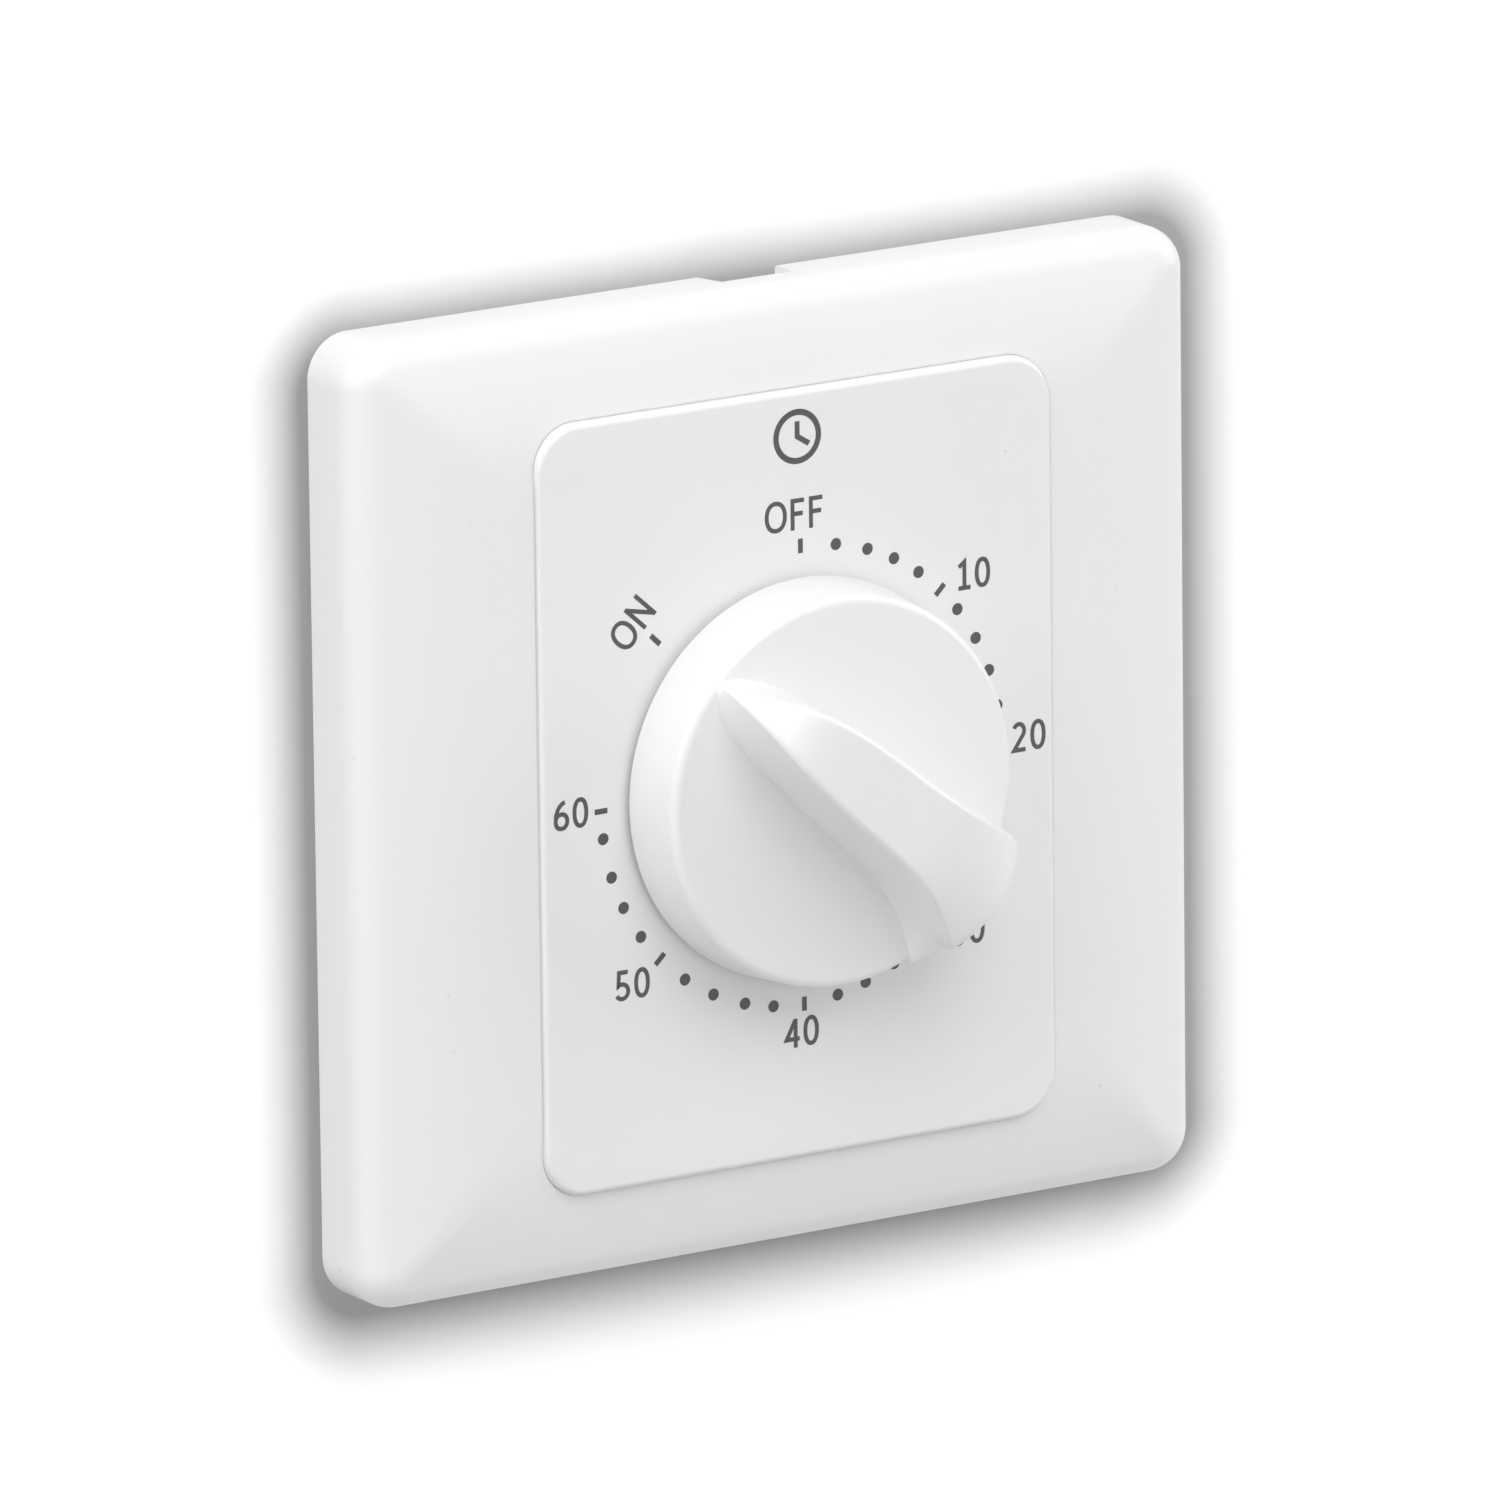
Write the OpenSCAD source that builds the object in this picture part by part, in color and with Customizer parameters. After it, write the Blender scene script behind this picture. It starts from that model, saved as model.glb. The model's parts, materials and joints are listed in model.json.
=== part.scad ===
// Clockwork countdown light switch on a square wall plate.
// The origin lies on the wall, midway between the two fixing slots.
// X runs right, Z up, and the dial faces -Y.
// Pieces are drawn lying down: x right, y up the wall, z out of the wall.

/* [Front frame] */
// Width and height of the front frame
frame_size = 87; // [82:0.5:92]
// Radius of the frame's four upright corners
frame_corner_r = 4; // [3:0.5:7]
// Wall of the moulded frame
frame_wall = 2; // [1.5:0.1:2.4]
// Straight height of the frame's sides
frame_side_h = 5; // [4:0.1:6]
// Radius from the sides into the face
frame_edge_r = 3.3; // [2.8:0.1:4]
// Radius of the pillowed face
pillow_r = 42; // [36:1:60]
// Slope of the face next to its rounded edge, in degrees
pillow_slope = 19; // [16:1:26]
// Width of the prying notch in the top edge
notch_w = 7.3; // [4:0.1:10]
// Depth of the prying notch, out from the wall
notch_h = 2.7; // [1:0.1:3.5]
// Distance of the prying notch to the right of the middle
notch_x = 1; // [-6:0.5:6]
// Width of each snap hook inside the frame
hook_w = 9; // [6:0.5:14]
// Overlap of a snap hook behind the base flange
hook_reach = 0.5; // [0.3:0.1:0.8]
// Distance of each snap hook from the middle
hook_x = 24; // [16:1:30]

/* [Base and dial panel] */
// Radius of the panel's corners
panel_r = 4.2; // [3:0.2:6]
// Height of the panel's face above the crown of the frame
panel_proud = 0.3; // [0.2:0.1:1]
// Rounding of the panel's front edge
panel_edge = 0.7; // [0.4:0.1:1]
// Thickness of the dial panel
panel_t = 2.2; // [1.8:0.1:3]
// Wall of the box behind the panel
panel_wall = 1.9; // [1.5:0.1:2.1]
// Gap between the panel and the frame's window
window_gap = 0.2; // [0.15:0.05:0.6]
// Thickness of the base flange
flange_t = 2.6; // [2.2:0.1:3.5]
// Gap between the flange and the frame's sides
flange_gap = 0.4; // [0.3:0.05:0.8]
// Distance between the two fixing slots
fixing_pitch = 60.3; // [60:0.1:64]
// Width of a fixing slot
slot_w = 4.4; // [4:0.1:5]
// Length of a fixing slot
slot_l = 8; // [6:0.5:10]

/* [Knob] */
// Diameter of the knob at its foot
knob_d = 36; // [34:0.5:38]
// Taper of the knob's skirt, on the radius
knob_taper = 0.5; // [0.2:0.1:1]
// Height of the knob's skirt above the panel
skirt_h = 6.9; // [6:0.1:8]
// Gap under the knob
knob_gap = 0.6; // [0.4:0.1:1]
// Wall of the knob's skirt and disc
knob_wall = 1.8; // [1.4:0.1:2.4]
// Rounding of the knob's front edge
knob_edge_r = 1; // [0.6:0.1:1.6]
// Rise of the knob's domed face
knob_dome = 0.5; // [0.3:0.1:1]
// Height of the grip above the disc
grip_h = 9.6; // [7:0.2:11]
// Half width of the grip's foot
grip_foot = 4.2; // [3.6:0.1:5]
// Half width of the grip's ridge
grip_ridge = 3.5; // [2.8:0.1:3.6]
// Pointer angle at rest, left of the top, in degrees
pointer_rest = 51; // [45:1:56]
// Turn from the constant-on stop to the sixty minute stop, in degrees
knob_travel = 324; // [300:1:326]

/* [Clockwork] */
// Module of the wheels and pinions
tooth_module = 0.4; // [0.36:0.01:0.42]
// Teeth of the great wheel
great_teeth = 60; // [56:1:62]
// Teeth of the second and third wheels
wheel_teeth = 48; // [44:1:50]
// Leaves of the pinions
pinion_leaves = 8; // [8:1:8]
// Teeth of the escape wheel
escape_teeth = 20; // [16:1:24]
// Radius of the escape wheel
escape_r = 6; // [5:0.1:6.2]
// Depth of the escape wheel's teeth
escape_tooth = 1.6; // [1.2:0.1:2]
// Thickness of the two movement plates
plate_t = 1; // [0.8:0.1:1.4]
// Thickness of the great wheel
great_t = 1; // [0.8:0.1:1.2]
// Thickness of the other wheels
wheel_t = 0.8; // [0.6:0.1:1]
// Height of the mainspring strip
spring_h = 7; // [5:0.5:9]
// Thickness of the mainspring strip
spring_t = 0.35; // [0.25:0.05:0.45]
// Turns of the mainspring
spring_turns = 6.5; // [4.5:1:7.5]
// Radius of the main arbor
arbor_r = 3; // [2.8:0.1:3.2]
// Radius of the switch cam
cam_r = 8; // [7:0.1:8.2]
// Swing of the verge to each side, in degrees
verge_swing = 3; // [2:0.5:4]
// Half width of the movement plates
plate_half_w = 22; // [21.5:0.1:24]
// Lower edge of the movement plates, below the knob's axis
plate_down = 22.4; // [21.5:0.05:24]
// Upper edge of the movement plates, above the knob's axis
plate_up = 20.8; // [20:0.1:21]
// Gap between the movement plates and the cover around them
plate_gap = 0.65; // [0.4:0.05:1.2]

/* [Switch and terminals] */
// Width of the contact blades
blade_w = 2.8; // [2.4:0.1:3.2]
// Thickness of the contact blades
blade_t = 0.4; // [0.3:0.05:0.5]
// Radius of the silver contacts
contact_r = 1.3; // [1:0.1:1.3]
// Thickness of each silver contact
contact_t = 1.1; // [0.8:0.1:1.3]
// Radius of the wire bore in a terminal
wire_r = 1.8; // [1.5:0.1:1.9]
// Depth of the wire bore in a terminal
wire_depth = 8; // [6:0.5:8.5]
// Distance of a terminal from the middle
terminal_x = 9.7; // [9.5:0.1:10]
// Width of a terminal
terminal_w = 6.4; // [5.6:0.1:6.6]
// Least room in the case beside a terminal
terminal_wall = 1.5; // [1.2:0.1:2]
// Height of a terminal
terminal_h = 6.4; // [6:0.1:6.6]
// Length of a terminal
terminal_l = 9.4; // [9:0.1:11]

/* [Rear cover] */
// Wall of the rear cover
cover_wall = 1.8; // [1.4:0.1:2]
// Gap between the cover and the base's opening
cover_gap = 0.25; // [0.15:0.05:0.4]
// Depth to which the cover enters the base
cover_seat = 1.5; // [1:0.1:2.2]
// Thickness of the cover's screw ears
ear_t = 4; // [3:0.5:5]
// Side of the pocket at each corner of the cover
pocket = 7.7; // [7.2:0.1:8]

/* [Hidden] */
$fn = 48;
cut = 0.5;

// Clearances
run_gap = 0.3;
pivot_gap = 0.05;
press_gap = 0.02;
contact_gap = 0.05;

// The case wraps the movement: plates, cover, then the box behind the dial panel
case_wrap = plate_gap + cover_wall + cover_gap + panel_wall;
// Half width that the movement plates or the terminals and their block need inside the case
inner_half = max(plate_half_w, terminal_x + terminal_w / 2 + terminal_wall + pocket - plate_gap);
panel_w = 2 * (inner_half + case_wrap);
panel_h = 2 * (plate_down + pocket + case_wrap);

// Heights of the shell above the wall
crown_z = frame_side_h + pillow_r - (pillow_r - frame_edge_r) * cos(pillow_slope);
panel_face = crown_z + panel_proud;
panel_back = panel_face - panel_t;
knob_foot = panel_face + knob_gap;
knob_disc = panel_face + skirt_h;
frame_inner = frame_size / 2 - frame_wall;
flange_half = frame_inner - flange_gap;
hook_t = 0.8;
hook_z = 0.3;

// Knob bore and shaft
shaft_flat = arbor_r / 2;
shaft_end = knob_disc + 4;
knob_boss_r = arbor_r + 2.2;
clip_w = 3.6;
clip_t = 0.3;
clip_pocket = 0.9;
grip_tip = knob_d / 2 - 1.1;
grip_tail = knob_d / 2;
grip_tip_l = 5.9;
grip_flare_from = 6;

// Movement heights, counted back from the panel
front_plate_z = panel_back - plate_t;
cam_top = front_plate_z - run_gap;
blade_top = cam_top - run_gap / 3;
lug_t = 1.2;
lug_top = cam_top - blade_w - 2 * run_gap;
cam_foot = lug_top - lug_t;
spring_top = cam_foot - run_gap;
spring_foot = spring_top - spring_h;
shoulder_t = 0.5;
shoulder_r = arbor_r + 1.5;
shoulder_top = spring_foot - run_gap;
great_top = shoulder_top - shoulder_t;
great_foot = great_top - great_t;
washer_t = 0.4;
collar_t = 1.6;
collar_r = arbor_r + 0.4;
collar_foot = great_foot - washer_t - collar_t;
level_gap = 0.6;
second_top = collar_foot - level_gap;
second_foot = second_top - wheel_t;
third_top = second_foot - 2 * level_gap;
third_foot = third_top - wheel_t;
rear_plate_z = third_foot - 2 * level_gap;
rear_plate_back = rear_plate_z - plate_t;
pillar_head_h = 1.4;
pan_head_h = 1.8;
cover_floor = rear_plate_back - pillar_head_h - 2 * level_gap;
cover_back = cover_floor - cover_wall;

// Clockwork plan: arbors of the train, each at its pitch distance from the last
pinion_pitch_r = tooth_module * pinion_leaves / 2;
tooth_rise = 1.25 * tooth_module;
tooth_root = 1.1 * tooth_module;
leaf_half = 0.525 * tooth_module;
leaf_over = 0.4;
pinion_root = pinion_pitch_r - tooth_rise - 0.15;
arbor_slim_r = 1;
pivot_r = 0.6;
hub_r = 2.1;
second_at = polar(mesh(great_teeth), 225);
third_at = second_at + polar(mesh(wheel_teeth), -24);
escape_at = third_at + polar(mesh(wheel_teeth), 19);
verge_at = escape_at + polar(escape_r + 2.5, 50);
pallet_r = 0.35;
pallet_orbit = escape_r + 0.9;
pallet_spread = 55;
pallet_places = [for (side = [-1, 1])
    escape_at + polar(pallet_orbit, heading(escape_at, verge_at) + side * pallet_spread)];
verge_arm_w = 1.6;
verge_tail_w = 2;
verge_tail_l = 4;
verge_bob_r = 1.7;
verge_top = great_foot - level_gap;
verge_foot = verge_top - wheel_t;
arbor_neck_r = arbor_r - 0.5;
arbor_tail_r = arbor_r - 1;
arbor_pivot_r = 1.5;

// Stop lug and pin, mainspring and its post
stop_orbit = cam_r + 1.8;
stop_pin_r = 1.2;
lug_w = 3.2;
stop_at = polar(stop_orbit, 270);
spring_inner = arbor_r + spring_t / 2 + contact_gap;
spring_outer = 10.4;
spring_post_r = 1;
spring_post_at = polar(tooth_module * great_teeth / 2 + 1.9, 35);

// Pillars and screws
pillar_r = 2.5;
pillar_x = plate_half_w - 3.2;
pillar_places = [[-pillar_x, plate_up - 2.9], [pillar_x, plate_up - 2.9],
    [-pillar_x, 2.9 - plate_down], [pillar_x, 2.9 - plate_down]];
tenon_r = 1.5;
m2_r = 1.1;
m2_head_r = 2.2;
m2_grip = 4;
m3_r = 1.45;
movement_screw_x = 13.5;
plate_collar_r = 2.6;
plate_collar_h = 1.5;
screw_head_r = 2.7;
sink_h = 1.4;

// Rear cover and its screws
cover_w = panel_w - 2 * panel_wall - 2 * cover_gap;
cover_h = panel_h - 2 * panel_wall - 2 * cover_gap;
cover_r = 2;
ear_at = [(cover_w - pocket) / 2, (cover_h - pocket) / 2];
column_r = 3;
tapper_r = 1.25;
tapper_l = 10;

// Terminals and contact blades
block_w = cover_w - 2 * pocket - 2 * cover_wall - 0.6;
block_top = cover_h / 2 - cover_wall - 0.3;
block_foot = plate_up + 0.8;
terminal_top = block_top - 1.2;
terminal_y = terminal_top - terminal_h / 2;
wire_y = terminal_y - 0.7;
terminal_back = cover_floor + 1.5;
terminal_front = terminal_back + terminal_l;
clamp_z = terminal_back + wire_depth / 2 + 0.5;
clamp_r = 1.5;
blade_x = terminal_x - terminal_w / 2 - blade_t / 2;
contact_x = 3;
blade_y = cam_r + 0.8;
nub_r = 0.75;
fixed_blade_y = blade_y + blade_t + 2 * contact_t + contact_gap;

function polar(r, a) = [r * cos(a), r * sin(a)];
function mesh(teeth) = tooth_module * (teeth + pinion_leaves) / 2;
function heading(from, to) = atan2(to[1] - from[1], to[0] - from[0]);
function span(from, to, steps) = [for (k = [0:steps]) from + (to - from) * k / steps];
function mirrored(points) = [for (i = [len(points) - 1:-1:0]) [-points[i][0], points[i][1]]];

// Stands a piece up: its z becomes the way out of the wall
module upright() {
    rotate([90, 0, 0]) children();
}

module rounded_square(w, h, r) {
    square([w - 2 * r, h], center = true);
    square([w, h - 2 * r], center = true);
    for (x = [-1, 1], y = [-1, 1]) translate([x * (w / 2 - r), y * (h / 2 - r)]) circle(r);
}

// Solid of one outline between two heights
module slab(z0, z1) {
    translate([0, 0, z0]) linear_extrude(z1 - z0) children();
}

// Round bar between two heights
module turned(z0, z1, r) {
    translate([0, 0, z0]) cylinder(r = r, h = z1 - z0);
}

// Flat bar with a round eye at its far end, between two points of a plan
module bar(from, to, w) {
    translate(from) rotate(heading(from, to)) translate([0, -w / 2]) square([norm(to - from), w]);
    translate(to) circle(0.6 * w);
}

// Half outline of the pillowed frame: side, rounded edge, then the long arc up to the crown
function pillow_half(half, edge_r, arc_r, foot) = concat([[half, foot]],
    [for (a = span(90, pillow_slope, 6))
        [half - edge_r + edge_r * sin(a), frame_side_h + edge_r * cos(a)]],
    [for (a = span(pillow_slope, 0, 8)) if (a < pillow_slope)
        [half - edge_r - (arc_r - edge_r) * sin(pillow_slope) + arc_r * sin(a),
         frame_side_h - (arc_r - edge_r) * cos(pillow_slope) + arc_r * cos(a)]]);

// Two crossed extrusions of the outline meet in the hips at the corners
module pillow(inset, foot) {
    half = frame_size / 2 - inset;
    side = pillow_half(half, frame_edge_r - inset, pillow_r - inset, foot);
    outline = concat(side, mirrored(side));
    intersection() {
        rotate([90, 0, 0]) linear_extrude(2 * half, center = true) polygon(outline);
        rotate([90, 0, 90]) linear_extrude(2 * half, center = true) polygon(outline);
        slab(foot, crown_z + cut) rounded_square(2 * half, 2 * half, frame_corner_r - inset);
    }
}

// Prying notch through the top wall
module notch_cut() {
    translate([notch_x - notch_w / 2, frame_inner - cut, -cut])
        cube([notch_w, frame_wall + 2 * cut, notch_h + cut]);
}

// Places of the four snap hooks, on the top and bottom sides
module at_hooks() {
    for (x = [-1, 1], turn = [0, 180]) rotate(turn) translate([x * hook_x, frame_inner, 0]) children();
}

module front_frame() {
    color("white") upright() {
        difference() {
            pillow(0, 0);
            pillow(frame_wall, -cut);
            slab(0, crown_z + 2 * cut) rounded_square(panel_w + 2 * window_gap, panel_h + 2 * window_gap,
                panel_r + window_gap);
            notch_cut();
        }
        at_hooks() translate([-hook_w / 2, -flange_gap - hook_reach, hook_z])
            cube([hook_w, flange_gap + hook_reach + frame_wall / 2, hook_t]);
    }
}

// Dial box with a softly rounded front edge
module panel_box() {
    slab(0, panel_face - panel_edge) rounded_square(panel_w, panel_h, panel_r);
    for (step = [0, 1]) {
        a = 45 * step;
        b = a + 45;
        hull() for (t = [a, b]) {
            inset = panel_edge * (1 - cos(t));
            slab(panel_face - panel_edge - cut / 10, panel_face - panel_edge + panel_edge * sin(t))
                rounded_square(panel_w - 2 * inset, panel_h - 2 * inset, panel_r - inset, $fn = 32);
        }
    }
}

module at_columns() {
    for (x = [-1, 1], y = [-1, 1]) translate([x * ear_at[0], y * ear_at[1], 0]) children();
}

// Plan of a fixing slot, long along x
module slot_plan() {
    straight = slot_l - slot_w;
    square([straight, slot_w], center = true);
    for (end = [-1, 1]) translate([end * straight / 2, 0]) circle(slot_w / 2);
}

module base_plate() {
    inner_w = panel_w - 2 * panel_wall;
    inner_h = panel_h - 2 * panel_wall;
    recess = flange_gap + hook_reach + run_gap;
    color("white") upright() {
        difference() {
            union() {
                slab(0, flange_t) rounded_square(2 * flange_half, 2 * flange_half, frame_corner_r / 2);
                panel_box();
            }
            slab(-cut, panel_back) rounded_square(inner_w, inner_h, cover_r + cover_gap);
            turned(panel_back - cut, panel_face + cut, arbor_r + 1);
            for (x = [-1, 1]) {
                translate([x * movement_screw_x, 0, 0]) {
                    turned(panel_back - cut, panel_face + cut, m3_r + 0.15);
                    translate([0, 0, panel_face - sink_h])
                        cylinder(r1 = m3_r + 0.15, r2 = screw_head_r + 0.2, h = sink_h + 0.01);
                }
                translate([x * fixing_pitch / 2, 0, 0]) slab(-cut, flange_t + cut) slot_plan();
            }
            at_hooks() translate([-hook_w / 2 - run_gap, -recess, -cut])
                cube([hook_w + 2 * run_gap, recess + cut, hook_z + hook_t + run_gap / 2 + cut]);
        }
        difference() {
            at_columns() turned(cover_seat, panel_back + cut / 2, column_r);
            at_columns() turned(cover_seat - cut, cover_seat + tapper_l - ear_t, tapper_r + contact_gap);
        }
    }
}

// Plan of the cover: a box with its four corners set in around the screws
module cover_plan(inset) {
    corner_r = max(cover_r - inset, press_gap);
    rounded_square(cover_w - 2 * inset, cover_h - 2 * pocket - 2 * inset, corner_r);
    rounded_square(cover_w - 2 * pocket - 2 * inset, cover_h - 2 * inset, corner_r);
}

module rear_cover() {
    color("white") upright() difference() {
        union() {
            slab(cover_back, cover_seat) cover_plan(0);
            slab(cover_seat - ear_t, cover_seat) rounded_square(cover_w, cover_h, cover_r);
        }
        slab(cover_floor, cover_seat + cut) cover_plan(cover_wall);
        at_columns() turned(cover_seat - ear_t - cut, cover_seat + cut, tapper_r + 0.2);
        for (x = [-1, 1]) translate([x * terminal_x, 0, 0]) {
            translate([0, wire_y, cover_back - cut / 10])
                cylinder(r1 = wire_r + 1.2, r2 = wire_r + 0.4, h = cover_wall + cut / 5);
            translate([0, 0, clamp_z]) rotate([-90, 0, 0])
                turned(cover_h / 2 - cover_wall - cut, cover_h / 2 + cut, screw_head_r + run_gap);
        }
    }
}

// Pan head screw with a cross slot, head at z = 0 and shank pointing up
module pan_screw(shank_r, length, head_r, head_h) {
    difference() {
        union() {
            turned(-head_h, 0, head_r);
            turned(-head_h / 2, length, shank_r);
        }
        for (turn = [0, 90]) rotate(turn)
            translate([-head_r * 0.6, -0.3, -head_h - cut]) cube([head_r * 1.2, 0.6, cut + head_h / 2]);
    }
}

module cover_screws() {
    color("silver") upright() at_columns() translate([0, 0, cover_seat - ear_t])
        pan_screw(tapper_r, tapper_l - 0.6, screw_head_r, pan_head_h);
}

// Half outline of the knob's body of revolution, skirt foot to the domed middle
function knob_half() = let(rim = knob_d / 2 - knob_taper, dome_r = (pow(rim - knob_edge_r, 2)
    + pow(knob_dome, 2)) / (2 * knob_dome)) concat([[0, knob_foot], [knob_d / 2, knob_foot]],
    [for (a = span(0, 90, 6)) [rim - knob_edge_r + knob_edge_r * cos(a),
        knob_disc - knob_edge_r + knob_edge_r * sin(a)]],
    [for (x = span(rim - knob_edge_r, 0, 6)) if (x < rim - knob_edge_r)
        [x, knob_disc + knob_dome - dome_r + sqrt(dome_r * dome_r - x * x)]]);

// Grip along its length s, from the pointed tip to the tail at the rim
function grip_swell(s) = 1 - exp(-(s + grip_tip + 0.6) / 3.6);
function grip_flare(s) = 0.041 * pow(max(0, s - grip_flare_from), 2);
function foot_half(s) = grip_foot * grip_swell(s) + grip_flare(s);
function ridge_half(s) = min(grip_ridge * grip_swell(s) + 0.008 * pow(max(0, s), 2), 1.5 * grip_ridge);
function grip_fall(s) = 1 - 0.8
    * pow(max(0, s - grip_flare_from) / (grip_tail - grip_flare_from + 0.2), 1.9);
function grip_rise(s) = grip_h * (1 - exp(-(s + grip_tip + 0.2) / 2.2)) * grip_fall(s);

// Cross section of the grip: concave flanks, softly rounded ridge
function grip_side(s) = let(foot = foot_half(s), top = ridge_half(s), rise = grip_rise(s),
    soft = min(0.9, top / 2, rise / 3)) concat([[foot, -knob_wall / 2]],
    [for (f = span(0, 1, 5)) [top + (foot - top) * pow(1 - f, 2), f * (rise - soft)]],
    [for (a = span(0, 90, 3)) if (a > 0) [top - soft + soft * cos(a), rise - soft + soft * sin(a)]]);
function grip_section(s) = let(side = grip_side(s))
    [for (p = concat([[0, -knob_wall / 2]], side, mirrored(side))) [s, p[0], p[1]]];

module grip() {
    tip_end = grip_tip_l - grip_tip;
    stations = concat(span(-grip_tip, tip_end, 8), span(tip_end + 2, grip_flare_from - 1, 5),
        span(grip_flare_from + 0.5, grip_tail + 1, 9));
    rings = [for (s = stations) grip_section(s)];
    n = len(rings[0]);
    last = len(rings) - 1;
    sides = [for (i = [0:last - 1], j = [0:n - 1]) let(k = (j + 1) % n)
        each [[i * n + j, (i + 1) * n + k, i * n + k], [i * n + j, (i + 1) * n + j, (i + 1) * n + k]]];
    ends = [[for (j = [0:n - 1]) j], [for (j = [n - 1:-1:0]) last * n + j]];
    polyhedron([for (ring = rings) each ring], concat(sides, ends), convexity = 6);
}

// D-shaped plan of the shaft; the flat looks along +x
module d_plan(r, flat) {
    intersection() {
        circle(r);
        translate([-2 * r + flat, -r - cut]) square([2 * r, 2 * (r + cut)]);
    }
}

// Turns a piece so that its +x points along the knob's tail
module along_knob() {
    rotate(pointer_rest - 90) children();
}

module knob() {
    inner_r = knob_d / 2 - knob_wall;
    color("white") upright() along_knob() difference() {
        union() {
            difference() {
                rotate_extrude() polygon(knob_half());
                difference() {
                    turned(knob_foot - cut, knob_disc - knob_wall, inner_r);
                    turned(knob_foot + knob_gap, knob_disc, knob_boss_r);
                    for (turn = [30:60:330]) rotate(turn) translate([0, -0.6, knob_foot + 1.5])
                        cube([inner_r + cut, 1.2, skirt_h]);
                }
            }
            intersection() {
                translate([0, 0, knob_disc]) grip();
                turned(knob_foot, knob_disc + grip_h + 1, knob_d / 2 - knob_taper / 2);
            }
        }
        slab(knob_foot - cut, shaft_end + run_gap) d_plan(arbor_r + press_gap, shaft_flat + press_gap);
        translate([0, -clip_w / 2 - contact_gap, knob_foot - cut])
            cube([shaft_flat + clip_pocket, clip_w + 2 * contact_gap, shaft_end - knob_foot]);
    }
}

// Bowed leaf that takes up the play between the shaft's flat and the knob
module knob_clip() {
    length = shaft_end - knob_foot - 2;
    bow = clip_pocket - clip_t - 2 * contact_gap;
    line = [for (t = span(0, 1, 8))
        [shaft_flat + contact_gap + bow * (1 - sin(180 * t)), knob_foot + 1 + t * length]];
    back = [for (i = [len(line) - 1:-1:0]) line[i] + [clip_t, 0]];
    color("silver") upright() along_knob() rotate([90, 0, 0])
        linear_extrude(clip_w, center = true) polygon(concat(line, back));
}

module main_arbor() {
    color("silver") upright() along_knob() {
        slab(knob_foot - cut, shaft_end) d_plan(arbor_r, shaft_flat);
        turned(great_top, knob_foot, arbor_r);
        turned(great_top, shoulder_top, shoulder_r);
        turned(collar_foot, shoulder_top, arbor_neck_r);
        turned(rear_plate_z + run_gap, great_top, arbor_tail_r);
        turned(rear_plate_back, collar_foot, arbor_pivot_r);
    }
}

// Cam with one dip for the off position, and the stop lug behind it
module switch_cam() {
    off_turn = 90 + pointer_rest;
    lug_turn = 270 - (360 - knob_travel) / 2;
    color("ivory") upright() difference() {
        union() {
            slab(cam_foot, cam_top) difference() {
                circle(cam_r);
                rotate(off_turn) translate([cam_r + 0.6, 0]) circle(1.8);
            }
            slab(cam_foot, lug_top) rotate(lug_turn) translate([0, -lug_w / 2])
                square([stop_orbit + stop_pin_r, lug_w]);
        }
        turned(cam_foot - cut, cam_top + cut, arbor_r + press_gap);
    }
}

// Clock wheel tooth: radial flanks below the pitch circle, an epicycloid above it
function epicycloid(pitch_r, roll_r, rise) = let(r = pitch_r + rise, reach = pitch_r + roll_r,
    turn = acos(min(1, (reach * reach + roll_r * roll_r - r * r) / (2 * reach * roll_r))),
    at = turn * roll_r / pitch_r, x = reach * cos(at) - roll_r * cos(at + turn),
    y = reach * sin(at) - roll_r * sin(at + turn)) [r, atan2(y, x)];
function tooth_flank(teeth) = let(pitch_r = tooth_module * teeth / 2, half = 79.2 / teeth)
    concat([[pitch_r - tooth_root, -half]],
    [for (rise = span(0, tooth_rise, 3)) let(p = epicycloid(pitch_r, pinion_pitch_r / 2, rise))
        [p[0], p[1] - half]]);
function tooth_points(teeth) = let(flank = tooth_flank(teeth),
    tooth = concat(flank, [for (i = [len(flank) - 1:-1:0]) [flank[i][0], -flank[i][1]]]))
    [for (k = [0:teeth - 1], p = tooth) polar(p[0], p[1] + 360 * k / teeth)];

// Pinion leaf: radial flanks and a round tip
function leaf_points() = let(half = asin(leaf_half / pinion_pitch_r), root = polar(pinion_root, half),
    centre = pinion_pitch_r * cos(half)) concat([[root[0], -root[1]]],
    [for (a = span(-90, 90, 4)) [centre + leaf_half * cos(a), leaf_half * sin(a)]], [root]);
function pinion_points() = [for (k = [0:pinion_leaves - 1], p = leaf_points())
    polar(norm(p), atan2(p[1], p[0]) + 360 * k / pinion_leaves)];

// Wheel with round crossings, one tooth turned to face the next arbor
module wheel(teeth, top, thickness, bore, facing) {
    ring_r = tooth_module * teeth / 2 - tooth_root;
    hole_r = (ring_r - bore) / 4;
    rotate(facing) slab(top - thickness, top) difference() {
        polygon(tooth_points(teeth));
        circle(bore);
        for (k = [0:5]) rotate(60 * k + 30) translate([(ring_r + bore) / 2 + 0.3, 0]) circle(hole_r);
    }
}

// Pinion cut from its own arbor, one space turned to face the wheel that drives it
module pinion_arbor(top, foot, seat_top, seat_foot, facing) {
    turned(rear_plate_back, front_plate_z + plate_t, pivot_r);
    turned(max(top, seat_top) + level_gap, front_plate_z - run_gap, arbor_slim_r);
    turned(seat_foot, seat_top, arbor_slim_r);
    turned(min(foot, seat_foot), max(top, seat_top) + level_gap, pinion_root);
    rotate(facing + 180 / pinion_leaves) slab(foot, top) polygon(pinion_points());
}

module great_wheel() {
    color("goldenrod") upright()
        wheel(great_teeth, great_top, great_t, arbor_neck_r + press_gap, heading([0, 0], second_at));
}

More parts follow.
